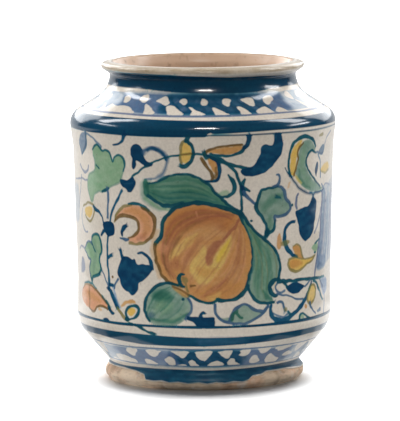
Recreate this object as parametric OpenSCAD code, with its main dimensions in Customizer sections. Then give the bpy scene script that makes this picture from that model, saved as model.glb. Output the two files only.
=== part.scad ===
// Albarello: a wheel-thrown earthenware drug jar, tin-glazed outside, lined with a thin clear glaze
// inside and banded in cobalt blue. The jar stands on Z = 0, its axis is Z and sizes are in millimetres.
// A profile is a list of corners, each [radius, height, rounding]. It runs up the outside of the clay,
// over the lip and down the inside, so that glaze always lies to the right of the way it runs.

/* [Jar] */
// Height of the clay, from the foot to the top of the lip
jar_h = 189.4; // [170:0.5:230]
// Thickness of the thrown wall
wall_t = 5; // [4:0.1:6.5]
// Thickness of the floor over the hollow of the base
floor_t = 7; // [5:0.5:10]

/* [Foot] */
// Height of the foot, from the ground to the crease above it
foot_h = 10.4; // [9:0.1:14]
// Radius of the ring that the jar stands on
base_r = 57.2; // [54:0.1:59]
// Radius of the corner that the roll of the foot is rounded from
roll_r = 60.6; // [59.5:0.1:66]
// Height of that corner above the ground
roll_h = 4.4; // [3.5:0.1:6]
// Radius of the crease between foot and taper
crease_r = 55.9; // [53:0.1:58]
// Radius of the shallow hollow turned under the base
hollow_r = 47; // [40:0.5:52]
// Depth of that hollow
hollow_d = 1.6; // [0.8:0.1:2.5]
// Width of the sloping edge of the hollow
hollow_edge = 2; // [1:0.1:4]

/* [Taper and wall] */
// Height of the taper between crease and wall
taper_h = 22.9; // [18:0.1:28]
// Radius at the bottom of the wall
wall_low_r = 75.6; // [70:0.1:82]
// Height of the waist above the bottom of the wall
waist_h = 27; // [15:0.5:40]
// Radius at the waist, where the wall is slimmest
waist_r = 75.2; // [70:0.1:82]
// Height of the flare below the shoulder
flare_h = 19; // [12:0.5:30]
// Radius where the flare starts
flare_r = 77.1; // [72:0.1:84]
// Radius of the corner that the shoulder's edge is rounded from
edge_r = 79.4; // [75:0.1:87]

/* [Shoulder, neck and lip] */
// Height of the shoulder's slope, from its edge to the neck
shoulder_h = 14.6; // [10:0.1:20]
// Radius of the bore of the clay at the mouth
mouth_r = 50.6; // [45:0.1:57]
// Thickness of the clay at the neck, outside that bore
neck_t = 4.8; // [4:0.1:6.5]
// Height of the neck, from the shoulder to the underside of the lip
neck_h = 9.6; // [7:0.1:14]
// Height of the lip over the neck
lip_h = 7.4; // [5.5:0.1:10]
// Overhang of the lip beyond the neck, to the corner that its edge is rounded from
lip_over = 6.4; // [4:0.1:10]
// Drop from the top of the lip to that corner
lip_drop = 1.4; // [1:0.1:2.5]
// Width of the flat on top of the lip
lip_top_w = 2; // [1.2:0.1:3]
// Height of the bell inside the lip, above the bore
bell_h = 5.4; // [3:0.1:7]
// Spread of that bell
bell_w = 2.6; // [1.5:0.1:4]

/* [Roundings] */
// Rounding of the edge of the foot
base_round = 1; // [0.5:0.1:2]
// Rounding of the roll of the foot
roll_round = 4; // [2:0.1:6]
// Rounding of the crease
crease_round = 2.4; // [1.5:0.1:4]
// Rounding between taper and wall
wall_low_round = 18; // [10:0.5:24]
// Rounding of the waist and of the start of the flare
waist_round = 60; // [30:1:120]
// Rounding of the shoulder's edge
edge_round = 9.5; // [5:0.5:14]
// Rounding between shoulder and neck
neck_round = 14; // [8:0.5:18]
// Rounding between neck and lip
throat_round = 3; // [1.5:0.1:5]
// Rounding of the lip's edge and of its top
lip_round = 1.6; // [0.8:0.1:2.5]
// Rounding of the mouth above its bore
bell_round = 8; // [4:0.5:12]
// Rounding of the inside, at the neck, the shoulder and the floor
inside_round = 8; // [4:0.5:12]

/* [Glaze and cobalt] */
// Thickness of the white glaze outside
glaze_t = 0.6; // [0.4:0.05:0.8]
// Thickness of the clear glaze inside
lining_t = 0.15; // [0.1:0.05:0.2]
// Depth of the cobalt in the white glaze
cobalt_t = 0.3; // [0.15:0.05:0.35]
// Height of bare clay on the foot
bare_h = 6.4; // [5:0.1:7.5]
// Rise of the foot's band above the crease
foot_band_rise = 1.2; // [0.5:0.1:2.5]
// Height of a line drawn on the wall
line_h = 1.5; // [0.8:0.1:2]
// Height of a line drawn on the taper or the shoulder
slope_line_h = 0.8; // [0.5:0.1:1.2]
// Gap between a band and the line beside it
line_gap = 1.3; // [0.8:0.1:2]
// Drop of the wall's band below the corner of taper and wall
wall_band_drop = 4.8; // [2:0.1:6]
// Height of the band round the bottom of the wall
wall_band_h = 5.6; // [4:0.1:8]
// Height of plain glaze between that band and the painted field
plinth_h = 5.2; // [3:0.1:7]
// Drop of the painted field's top below the corner of the shoulder's edge
field_drop = 5.6; // [4:0.1:8]
// Height of the band over the shoulder's edge
shoulder_band_h = 7.5; // [5:0.1:8.5]
// Drop of the neck's band below the underside of the lip
neck_band_drop = 6.4; // [5:0.1:8]
// Rise of the neck's band up the underside of the lip
neck_band_rise = 3.4; // [2:0.1:4]

/* [Hidden] */
$fn = 144;
// Degrees that one straight stretch of a rounding turns through
arc_step = 360 / 72;
// Most of a straight that the two roundings at its ends may take
most_of_straight = 24 / 25;

// Heights of the corners
crease_z = foot_h;
wall_low_z = crease_z + taper_h;
throat_z = jar_h - lip_h;
neck_z = throat_z - neck_h;
edge_z = neck_z - shoulder_h;
floor_z = hollow_d + floor_t;

// The way from one corner to the next, turns to the left counting as positive
function place(corner) = [corner[0], corner[1]];
function heading(c, i) = let (v = place(c[i + 1]) - place(c[i])) v / norm(v);
function run(c, i) = norm(place(c[i + 1]) - place(c[i]));
function right_of(v) = [v[1], -v[0]];
function turned(v, a) = [v[0] * cos(a) - v[1] * sin(a), v[0] * sin(a) + v[1] * cos(a)];
function bend(c, i) =
    let (a = heading(c, i - 1), b = heading(c, i)) atan2(a[0] * b[1] - a[1] * b[0], a * b);
function inner(c, i) = i > 0 && i < len(c) - 1;

// Corners with each rounding held to what the straights beside it have room for
function wanted(c, i) = inner(c, i) ? c[i][2] * tan(abs(bend(c, i)) / 2) : 0;
function share(c, i) = min(1, most_of_straight * run(c, i) / (wanted(c, i) + wanted(c, i + 1)));
function fitted(c) = [for (i = [0:len(c) - 1])
    [c[i][0], c[i][1], inner(c, i) ? c[i][2] * min(share(c, i - 1), share(c, i)) : 0]];

// Corners moved to the right by t, with roundings that stay parallel
function moved(c, t) = [for (i = [0:len(c) - 1])
    let (a = right_of(heading(c, max(i - 1, 0))),
         b = right_of(heading(c, min(i, len(c) - 2))),
         p = place(c[i]) + t * (a + b) / (1 + a * b),
         left = inner(c, i) && bend(c, i) > 0)
    [p[0], p[1], c[i][2] > 0 ? max(c[i][2] + (left ? t : -t), 0) : 0]];

// Points along the profile, each rounding as an arc
function arc_at(c, i) =
    let (a = bend(c, i),
         v = heading(c, i - 1),
         start = place(c[i]) - v * c[i][2] * tan(abs(a) / 2),
         centre = start - sign(a) * c[i][2] * right_of(v),
         steps = ceil(abs(a) / arc_step))
    [for (k = [0:steps]) centre + turned(start - centre, a * k / steps)];
function drawn(c) = [for (i = [0:len(c) - 1])
    each inner(c, i) && c[i][2] > 0 ? arc_at(c, i) : [place(c[i])]];

// Stretches of a rising line of points, cut off level
function step_at(line, z) = [for (k = [0:len(line) - 2]) if (line[k][1] <= z && line[k + 1][1] > z) k][0];
function point_at(line, z) =
    let (k = step_at(line, z), a = line[k], b = line[k + 1]) a + (b - a) * (z - a[1]) / (b[1] - a[1]);
function stretch(line, low, high) = concat(
    [point_at(line, low)],
    [for (k = [step_at(line, low) + 1:1:step_at(line, high)]) line[k]],
    [point_at(line, high)]);
function above(line, low) = concat(
    [point_at(line, low)],
    [for (k = [step_at(line, low) + 1:1:len(line) - 1]) line[k]]);
function backwards(line) = [for (k = [len(line) - 1:-1:0]) line[k]];
function past_first(line) = [for (k = [1:len(line) - 1]) line[k]];

// Where the straight through two corners reaches a height or a radius
function radius_on(a, b, z) = a[0] + (b[0] - a[0]) * (z - a[1]) / (b[1] - a[1]);
function height_on(a, b, r) = a[1] + (b[1] - a[1]) * (r - a[0]) / (b[0] - a[0]);

// The outside of the clay, from the edge of the hollow to the middle of the lip's top
neck_r = mouth_r + neck_t;
lip_r = neck_r + lip_over;
lip_in_r = mouth_r + bell_w;
lip_mid = [lip_in_r + lip_top_w / 2, jar_h, 0];
outside = fitted([
    [hollow_r, 0, 0],
    [base_r, 0, base_round],
    [roll_r, roll_h, roll_round],
    [crease_r, crease_z, crease_round],
    [wall_low_r, wall_low_z, wall_low_round],
    [waist_r, wall_low_z + waist_h, waist_round],
    [flare_r, edge_z - flare_h, waist_round],
    [edge_r, edge_z, edge_round],
    [neck_r, neck_z, neck_round],
    [neck_r, throat_z, throat_round],
    [lip_r, jar_h - lip_drop, lip_round],
    [lip_in_r + lip_top_w, jar_h, lip_round],
    lip_mid]);
crease_i = 3;
edge_i = 7;
neck_i = 8;

// The inside of the clay, from the middle of the lip's top to the middle of the floor: a wall's
// thickness in from the outside, with a bore of its own at the mouth and a flat floor
within = moved(outside, -wall_t);
inside = fitted(concat(
    [lip_mid,
     [lip_in_r, jar_h, lip_round],
     [mouth_r, jar_h - bell_h, bell_round],
     [mouth_r, height_on(within[neck_i], within[edge_i], mouth_r), inside_round]],
    [for (i = [edge_i:-1:crease_i + 1]) [within[i][0], within[i][1], max(within[i][2], inside_round)]],
    [[radius_on(within[crease_i], within[crease_i + 1], floor_z), floor_z, inside_round],
     [0, floor_z, 0]]));

// Heights of the cobalt, each [from, to]
function up_from(z, h) = [z, z + h];
function down_from(z, h) = [z - h, z];
foot_band_z = [bare_h, crease_z + foot_band_rise];
wall_band_z = up_from(wall_low_z - wall_band_drop, wall_band_h);
field_top_z = edge_z - field_drop;
shoulder_band_z = up_from(field_top_z + line_gap, shoulder_band_h);
neck_band_z = [throat_z - neck_band_drop, throat_z + neck_band_rise];
lines_z = [
    up_from(foot_band_z[1] + line_gap, slope_line_h),
    down_from(wall_band_z[0] - line_gap, slope_line_h),
    up_from(wall_band_z[1] + plinth_h, line_h),
    down_from(field_top_z, line_h),
    up_from(shoulder_band_z[1] + line_gap, slope_line_h),
    down_from(neck_band_z[0] - line_gap, slope_line_h)];
// The same in order from the foot to the neck
cobalt_z = [foot_band_z, lines_z[0], lines_z[1], wall_band_z, lines_z[2], lines_z[3], shoulder_band_z,
            lines_z[4], lines_z[5], neck_band_z];

// Faces of the glaze: where it lies on the clay, how deep the cobalt goes, and what is seen
clay_face = drawn(outside);
cobalt_floor = drawn(moved(outside, glaze_t - cobalt_t));
glaze_face = drawn(moved(outside, glaze_t));
inside_face = drawn(inside);
lining_face = drawn(moved(inside, lining_t));

module spun(outline) rotate_extrude() polygon(outline);

// A ring of cobalt, flush with the glaze around it
module cobalt_ring(z) spun(concat(stretch(glaze_face, z[0], z[1]),
                                  backwards(stretch(cobalt_floor, z[0], z[1]))));

module clay_body() color("#c8a88c")
    spun(concat(clay_face, past_first(inside_face),
                [[0, hollow_d], [hollow_r - hollow_edge, hollow_d]]));

module outer_glaze() color("#e3d8c8")
    spun(concat(
        [for (i = [0:len(cobalt_z) - 1]) each concat(
            i > 0 ? stretch(glaze_face, cobalt_z[i - 1][1], cobalt_z[i][0]) : [],
            stretch(cobalt_floor, cobalt_z[i][0], cobalt_z[i][1]))],
        above(glaze_face, cobalt_z[len(cobalt_z) - 1][1]),
        backwards(above(clay_face, bare_h))));

module lining_glaze() color("#d2ad90")
    spun(concat(past_first(backwards(inside_face)), lining_face, [[0, floor_z]]));

module foot_band() color("#0f3b63") cobalt_ring(foot_band_z);
module wall_band() color("#0f3b63") cobalt_ring(wall_band_z);
module shoulder_band() color("#0f3b63") cobalt_ring(shoulder_band_z);
module neck_band() color("#0f3b63") cobalt_ring(neck_band_z);
module drawn_lines() color("#23507f") for (z = lines_z) cobalt_ring(z);

clay_body();
outer_glaze();
lining_glaze();
foot_band();
wall_band();
shoulder_band();
neck_band();
drawn_lines();
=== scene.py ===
import math

import bmesh
import bpy
import numpy as np
from mathutils import Matrix, Vector
from mathutils.geometry import delaunay_2d_cdt


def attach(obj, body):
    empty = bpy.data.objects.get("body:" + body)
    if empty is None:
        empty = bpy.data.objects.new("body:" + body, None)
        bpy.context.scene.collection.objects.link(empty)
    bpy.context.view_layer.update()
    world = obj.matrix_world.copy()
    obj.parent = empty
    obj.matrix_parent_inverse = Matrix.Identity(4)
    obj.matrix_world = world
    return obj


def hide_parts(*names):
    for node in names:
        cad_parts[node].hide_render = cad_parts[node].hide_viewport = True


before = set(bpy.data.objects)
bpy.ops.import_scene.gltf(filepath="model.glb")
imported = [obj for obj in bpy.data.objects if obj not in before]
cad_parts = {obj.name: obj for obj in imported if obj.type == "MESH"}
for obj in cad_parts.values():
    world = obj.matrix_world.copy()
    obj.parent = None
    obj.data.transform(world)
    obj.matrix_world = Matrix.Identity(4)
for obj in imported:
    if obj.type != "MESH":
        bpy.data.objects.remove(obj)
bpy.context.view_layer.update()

# An albarello: a wheel-thrown earthenware drug jar with a white tin glaze, painted by hand in cobalt,
# green, orange and yellow. Sizes are in millimetres until a mesh is made, and then in metres.
MM = 0.001

# The thrown shape, with the sizes of the solids but a softer neck and a wider lip. A corner is (radius,
# height, rounding).
JAR_H = 189.4
WALL_T = 5.0
GLAZE_T = 0.6
LINING_T = 0.15
GLAZE_BED = 0.05
BASE_R = 57.2
ROLL_R = 60.6
ROLL_Z = 4.4
CREASE_R = 55.9
WALL_LOW_R = 75.6
WAIST_R = 75.2
WAIST_H = 27.0
FLARE_R = 77.1
FLARE_H = 19.0
EDGE_R = 79.4
HOLLOW_D = 1.6
HOLLOW_R = 47.0
HOLLOW_EDGE = 2.0
FLOOR_Z = 8.6
CREASE_Z = 10.4
WALL_LOW_Z = 33.3
EDGE_Z = 157.8
NECK_Z = 172.4
THROAT_Z = 182.0
MOUTH_R = 50.6
MOUTH_DEPTH = 5.4
NECK_R = 55.4
LIP_OVER = 7.2
LIP_DROP = 1.4
LIP_IN_R = 53.2
LIP_TOP_W = 2.0
LIP_ROUND = 1.6
BASE_ROUND = 1.0
ROLL_ROUND = 4.0
CREASE_ROUND = 2.4
WALL_LOW_ROUND = 18.0
WAIST_ROUND = 60.0
EDGE_ROUND = 9.5
NECK_ROUND = 16.0
NECK_OUT = 0.8
NECK_UP = 0.3
THROAT_ROUND = 3.0
THROAT_IN = 0.7
THROAT_UP = 0.9
LIP_MID = (LIP_IN_R + LIP_TOP_W / 2, JAR_H, 0.0)
INSIDE_ROUND = 8.0
OUTSIDE_CORNERS = [
    (HOLLOW_R, 0.0, 0.0),
    (BASE_R, 0.0, BASE_ROUND),
    (ROLL_R, ROLL_Z, ROLL_ROUND),
    (CREASE_R, CREASE_Z, CREASE_ROUND),
    (WALL_LOW_R, WALL_LOW_Z, WALL_LOW_ROUND),
    (WAIST_R, WALL_LOW_Z + WAIST_H, WAIST_ROUND),
    (FLARE_R, EDGE_Z - FLARE_H, WAIST_ROUND),
    (EDGE_R, EDGE_Z, EDGE_ROUND),
    (NECK_R + NECK_OUT, NECK_Z + NECK_UP, NECK_ROUND),
    (NECK_R - THROAT_IN, THROAT_Z + THROAT_UP, THROAT_ROUND),
    (NECK_R + LIP_OVER, JAR_H - LIP_DROP, LIP_ROUND),
    (LIP_IN_R + LIP_TOP_W, JAR_H, LIP_ROUND),
    LIP_MID,
]
# Places of three corners in the list
CREASE_I = 3
EDGE_I = 7
NECK_I = 8
# Roundings take up no more of a straight than this, and an arc has a point at every such turn
MOST_OF_STRAIGHT = 24 / 25
ARC_STEP = math.radians(2.5)

# How finely the height of the glaze is looked up along the clay
FINE_STEP = 0.1

# The painter's unrolled jar: s is an angle times this radius, from the middle of the front to the right
UNROLL_R = 76.0
HALF_ROUND = math.pi * UNROLL_R
# Faces of a mesh in one turn
TURNS_OF_MESH = 168


def linear(hex_colour):
    """An sRGB hex colour as linear red, green and blue."""
    parts = [int(hex_colour[i:i + 2], 16) / 255 for i in (1, 3, 5)]
    return [c / 12.92 if c <= 0.04045 else ((c + 0.055) / 1.055) ** 2.4 for c in parts]


def paint_of(hex_colour):
    """The same with an alpha, for a colour socket."""
    return (*linear(hex_colour), 1.0)


# Profiles: straights between corners, with each rounding as an arc
def place(corner):
    """Where a corner lies."""
    return np.array(corner[:2], float)


def heading(corners, i):
    """The way from one corner to the next, as a unit step."""
    way = place(corners[i + 1]) - place(corners[i])
    return way / np.linalg.norm(way)


def right_of(way):
    """A step to the right of a way."""
    return np.array([way[1], -way[0]])


def bend(corners, i):
    """How far the way turns to the left at a corner."""
    a, b = heading(corners, i - 1), heading(corners, i)
    return math.atan2(a[0] * b[1] - a[1] * b[0], a @ b)


def is_inner(corners, i):
    """Whether a corner has one on each side."""
    return 0 < i < len(corners) - 1


def fitted(corners):
    """Corners with each rounding held to what the straights beside it have room for."""
    def wanted(i):
        return corners[i][2] * math.tan(abs(bend(corners, i)) / 2) if is_inner(corners, i) else 0.0

    def share(i):
        room = MOST_OF_STRAIGHT * np.linalg.norm(place(corners[i + 1]) - place(corners[i]))
        return min(1.0, room / max(wanted(i) + wanted(i + 1), 1e-9))

    return [(r, z, rounding * min(share(i - 1), share(i)) if is_inner(corners, i) else 0.0)
            for i, (r, z, rounding) in enumerate(corners)]


def moved(corners, t):
    """Corners moved to the right of the way by t, with roundings that stay parallel."""
    made = []
    for i, corner in enumerate(corners):
        a = right_of(heading(corners, max(i - 1, 0)))
        b = right_of(heading(corners, min(i, len(corners) - 2)))
        r, z = place(corner) + t * (a + b) / (1 + a @ b)
        left = is_inner(corners, i) and bend(corners, i) > 0
        rounding = max(corner[2] + (t if left else -t), 0.0) if corner[2] > 0 else 0.0
        made.append((r, z, rounding))
    return made


def drawn(corners):
    """Points along a profile, each rounding as an arc."""
    points = []
    for i, corner in enumerate(corners):
        if not (is_inner(corners, i) and corner[2] > 0):
            points.append(place(corner))
            continue
        turn = bend(corners, i)
        way = heading(corners, i - 1)
        start = place(corner) - way * corner[2] * math.tan(abs(turn) / 2)
        centre = start - math.copysign(corner[2], turn) * right_of(way)
        steps = max(1, math.ceil(abs(turn) / ARC_STEP))
        for k in range(steps + 1):
            c, s = math.cos(turn * k / steps), math.sin(turn * k / steps)
            x, y = start - centre
            points.append(centre + np.array([x * c - y * s, x * s + y * c]))
    return np.array(points)


def lengths(line):
    """How far along a line of points each one lies."""
    return np.concatenate([[0.0], np.cumsum(np.linalg.norm(np.diff(line, axis=0), axis=1))])


outside = fitted(OUTSIDE_CORNERS)
within = moved(outside, -WALL_T)


def radius_on(a, b, z):
    """Radius at a height on the straight through two corners."""
    return a[0] + (b[0] - a[0]) * (z - a[1]) / (b[1] - a[1])


def height_on(a, b, r):
    """Height at a radius on the straight through two corners."""
    return a[1] + (b[1] - a[1]) * (r - a[0]) / (b[0] - a[0])


inside = fitted(
    [LIP_MID, (LIP_IN_R, JAR_H, LIP_ROUND), (MOUTH_R, JAR_H - MOUTH_DEPTH, INSIDE_ROUND),
     (MOUTH_R, height_on(within[NECK_I], within[EDGE_I], MOUTH_R), INSIDE_ROUND)]
    + [(*within[i][:2], max(within[i][2], INSIDE_ROUND)) for i in range(EDGE_I, CREASE_I, -1)]
    + [(radius_on(within[CREASE_I], within[CREASE_I + 1], FLOOR_Z), FLOOR_Z, INSIDE_ROUND),
       (0.0, FLOOR_Z, 0.0)])
clay_line = drawn(outside)
clay_along = lengths(clay_line)
inside_line = drawn(inside)
lining_line = drawn(moved(inside, LINING_T))


def along_of(z):
    """How far along the clay's outside a height on the glaze lies."""
    return np.interp(z, GLAZE_Z, GLAZE_ALONG)


def glaze_heights():
    """Height of the glaze's face over each of many places along the clay's outside."""
    along = np.arange(0.0, clay_along[-1], FINE_STEP)
    r = np.interp(along, clay_along, clay_line[:, 0])
    z = np.interp(along, clay_along, clay_line[:, 1])
    ways = np.gradient(np.stack([r, z], 1), FINE_STEP, axis=0)
    height = np.maximum.accumulate(z - GLAZE_T * ways[:, 0])
    return height, along


GLAZE_Z, GLAZE_ALONG = glaze_heights()

# The white of the glaze, and the pigments as they look on it where they lie thick
GLAZE_WHITE = "#e3dbcd"
PIGMENTS = {
    "cobalt": "#00375a",
    "band": "#003a57",
    "slate": "#3f5f80",
    "frieze": "#3a5a85",
    "violet": "#5d6c8c",
    "teal": "#0c4557",
    "leaf": "#477a64",
    "green": "#6e9181",
    "pale_green": "#7da781",
    "dark_green": "#266152",
    "fruit": "#bf7b43",
    "orange": "#cb9158",
    "amber": "#ca8f4f",
    "peach": "#eda078",
    "flame": "#ebc672",
    "yellow": "#f4b858",
    "bright": "#fbc44b",
    "rust": "#9d614a",
    "brown": "#6a5230",
    "olive": "#857b4e",
    "wash": "#7d99bd",
    "buff": "#a8977f",
}
DEEPEST_TINT = 0.002
PIGMENT_TINTS = {name: np.clip(np.array(linear(colour)) / np.array(linear(GLAZE_WHITE)), DEEPEST_TINT, 1.0)
                 for name, colour in PIGMENTS.items()}

# Marks in the order that the painter lays them
marks = []
# Points of a mark's line lie this close together, and its edge is this soft
POINT_STEP = 0.8
SOFT_EDGE = 0.6
# The waver of the hand and the press of the brush, and the length over which each changes
HAND = 0.7
HAND_LENGTH = 2.6
BRUSH = 1.15
PRESS_LENGTH = 3.2
# Bands have points this close together along their edges, in front as far as this place and behind it
FRONT_HALF = 118.0
FRONT_STEP = 1.1
BACK_STEP = 1.6
# Random values stand on a square of this many cells, which repeats. Each mark starts elsewhere on it.
NOISE_CELLS = 97
MARK_SHIFT = 7.3
# A streak of the brush: its points, and the least share of its guide lines, in their points
STREAK_POINTS = 6
LEAST_STREAK = 1.5
# Bands and strokes with more room than this between their edges have points on both sides of each edge
BAND_CORE = 0.5
STROKE_CORE = 0.15


def smooth_line(points, closed=False):
    """A curve through given points, and where between them each of its points lies."""
    count = len(points)
    spans = count if closed else count - 1
    made, where = [], []
    for i in range(spans):
        if closed:
            a, b, c, d = (points[(i + k) % count] for k in (-1, 0, 1, 2))
        else:
            b, c = points[i], points[i + 1]
            a = points[i - 1] if i > 0 else 2 * b - c
            d = points[i + 2] if i + 2 < count else 2 * c - b
        steps = max(2, math.ceil(np.linalg.norm(c - b) / POINT_STEP))
        t = np.arange(steps)[:, None] / steps
        made.append(0.5 * (2 * b + (c - a) * t + (2 * a - 5 * b + 4 * c - d) * t ** 2
                           + (3 * b - a - 3 * c + d) * t ** 3))
        where.append(i + t[:, 0])
    if not closed:
        made.append(points[-1:])
        where.append(np.array([count - 1.0]))
    return np.concatenate(made), np.concatenate(where)


def on_sheet(points):
    """Given places (s, height) as (s, along the clay)."""
    points = np.array(points, float)
    return np.stack([points[:, 0], along_of(points[:, 1])], 1)


def by_hand(line):
    """A line with the small waver of a hand."""
    x, y = line.T
    seed = len(marks)
    waver = [mottle(x, y, HAND_LENGTH, HAND_LENGTH, 3 * seed + k) - 0.5 for k in (0, 1)]
    return line + HAND * np.stack(waver, 1)


def fill(pigment, points, strength=0.95, soft=SOFT_EDGE, streak=0.12, grain=(3.0, 1.6)):
    """A shape filled with the brush, its outline drawn through the points."""
    outline = by_hand(smooth_line(on_sheet(points), closed=True)[0])
    marks.append({"kind": "fill", "pigment": pigment, "line": outline, "strength": strength,
                  "soft": soft, "streak": streak, "grain": grain})


def stroke(pigment, points, width, strength=0.9, soft=SOFT_EDGE, streak=0.25, fade=None):
    """A stroke of the brush. Width, and fade if the brush runs dry, may have a value for each point."""
    line, where = smooth_line(on_sheet(points))
    line = by_hand(line)
    press = BRUSH * (0.75 + 0.5 * mottle(*line.T, PRESS_LENGTH, PRESS_LENGTH, len(marks)))
    widths = np.full(len(points), width, float) if np.isscalar(width) else np.array(width, float)
    fades = np.ones(len(points)) if fade is None else np.array(fade, float)
    at = np.arange(len(points))
    marks.append({"kind": "stroke", "pigment": pigment, "line": line, "strength": strength, "soft": soft,
                  "half": press * np.interp(where, at, widths) / 2, "fade": np.interp(where, at, fades),
                  "streak": streak, "grain": (2.0, 2.0)})


def dab(pigment, centre, across, up=None, strength=0.9, soft=SOFT_EDGE):
    """A touch of the brush: a round or oval spot of that half width and half height."""
    up = across if up is None else up
    ring = [(centre[0] + across * math.cos(a), centre[1] + up * math.sin(a))
            for a in np.linspace(0, math.tau, 8, endpoint=False)]
    fill(pigment, ring, strength, soft)


def hatch(pigments, first, last, count, width, strength, seed):
    """Brush streaks that turn from one guide line into another, as the hairs of a brush leave them."""
    dice = np.random.default_rng(seed)
    first, last = np.array(first, float), np.array(last, float)
    for k in range(count):
        t = (k + dice.uniform(0.1, 0.9)) / count
        start, end = sorted(dice.uniform(0, len(first) - 1, 2))
        if end - start < LEAST_STREAK:
            start, end = 0, len(first) - 1
        at = np.linspace(start, end, STREAK_POINTS)
        line = (1 - t) * first + t * last
        points = np.stack([np.interp(at, np.arange(len(line)), line[:, i]) for i in (0, 1)], 1)
        wide = width * dice.uniform(0.6, 1.4)
        pigment = pigments[dice.integers(len(pigments))]
        widths = [0.3 * wide] + [wide] * (STREAK_POINTS - 2) + [0.3 * wide]
        stroke(pigment, points, widths, strength * dice.uniform(0.5, 1.2), 0.9, 0.4)


def band(pigment, low, high, strength=0.95, soft=SOFT_EDGE, streak=0.12, grain=(14.0, 1.6)):
    """A band round the jar between two wavering edges, each a list of (s, height)."""
    marks.append({"kind": "band", "pigment": pigment, "low": on_sheet(low).T, "high": on_sheet(high).T,
                  "strength": strength, "soft": soft, "streak": streak, "grain": grain})


def edge_at(edge, s):
    """Height of a band's edge, which closes on itself behind the jar."""
    return np.interp(s, edge[0], edge[1], period=2 * HALF_ROUND)


def mottle(x, y, size_x, size_y, seed):
    """Smooth random values from 0 to 1, in cells of that size."""
    cells = np.random.default_rng(seed).random((NOISE_CELLS, NOISE_CELLS))
    u, v = x / size_x, y / size_y
    i, j = np.floor(u).astype(int), np.floor(v).astype(int)
    fu, fv = u - i, v - j
    fu, fv = fu * fu * (3 - 2 * fu), fv * fv * (3 - 2 * fv)
    corner = {(a, b): cells[(i + a) % NOISE_CELLS, (j + b) % NOISE_CELLS] for a in (0, 1) for b in (0, 1)}
    low = corner[0, 0] * (1 - fu) + corner[1, 0] * fu
    high = corner[0, 1] * (1 - fu) + corner[1, 1] * fu
    return low * (1 - fv) + high * fv


def near_line(points, line, closed):
    """Distance of each point from a line, and the place on it that is nearest."""
    ends = np.roll(line, -1, axis=0) if closed else line[1:]
    starts = line if closed else line[:-1]
    best = np.full(len(points), 1e9)
    place_on = np.zeros(len(points))
    for k, (a, b) in enumerate(zip(starts, ends)):
        way = b - a
        t = np.clip(((points - a) @ way) / max(way @ way, 1e-12), 0, 1)
        gap = np.linalg.norm(points - a - t[:, None] * way, axis=1)
        closer = gap < best
        best[closer] = gap[closer]
        place_on[closer] = k + t[closer]
    return best, place_on


def inside_of(points, line):
    """Which points lie inside a closed line."""
    x, y = points.T
    found = np.zeros(len(points), bool)
    for (x0, y0), (x1, y1) in zip(line, np.roll(line, -1, axis=0)):
        if y0 == y1:
            continue
        crosses = ((y0 > y) != (y1 > y)) & (x < (x1 - x0) * (y - y0) / (y1 - y0) + x0)
        found ^= crosses
    return found


def cover(mark, points):
    """Which of the points a mark reaches, and how much of each it covers."""
    if mark["kind"] == "band":
        low, high = edge_at(mark["low"], points[:, 0]), edge_at(mark["high"], points[:, 0])
        depth = np.minimum(points[:, 1] - low, high - points[:, 1])
        reached = np.flatnonzero(depth > -mark["soft"])
        depth = depth[reached]
        fade = 1.0
    else:
        reach = mark["soft"] + (mark["half"].max() if mark["kind"] == "stroke" else 0.0)
        lowest, highest = mark["line"].min(0) - reach, mark["line"].max(0) + reach
        reached = np.flatnonzero(((points > lowest) & (points < highest)).all(1))
        here = points[reached]
        gap, at = near_line(here, mark["line"], mark["kind"] == "fill")
        if mark["kind"] == "fill":
            depth = np.where(inside_of(here, mark["line"]), gap, -gap)
            fade = 1.0
        else:
            steps = np.arange(len(mark["line"]))
            depth = np.interp(at, steps, mark["half"]) - gap
            fade = np.interp(at, steps, mark["fade"])
    share = np.clip(depth / mark["soft"] + 0.5, 0, 1)
    return reached, share * fade


def painted(points):
    """The tint that the paint gives the white at each point of the sheet, and how thick it lies. Thin paint
    lets the white through, so tints are mixed by their logarithms."""
    depth_of_tint = np.zeros((len(points), 3))
    body = np.zeros(len(points))
    for number, mark in enumerate(marks):
        reached, share = cover(mark, points)
        s, along = points[reached].T
        size_s, size_v = mark["grain"]
        thin = mottle(s + MARK_SHIFT * number, along, size_s, size_v, number)
        laid = np.clip(share * mark["strength"] * (1 - mark["streak"] * thin), 0, 1)
        depth_of_tint[reached] *= (1 - laid)[:, None]
        body[reached] *= 1 - laid
        if mark["pigment"]:
            depth_of_tint[reached] += laid[:, None] * np.log(PIGMENT_TINTS[mark["pigment"]])
            body[reached] += laid
    return np.exp(depth_of_tint), body


def sides(line, closed):
    """Unit steps to the side of a line at each of its points."""
    ways = np.roll(line, -1, 0) - np.roll(line, 1, 0) if closed else np.gradient(line, axis=0)
    ways /= np.maximum(np.linalg.norm(ways, axis=1), 1e-9)[:, None]
    return np.stack([ways[:, 1], -ways[:, 0]], 1)


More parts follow.
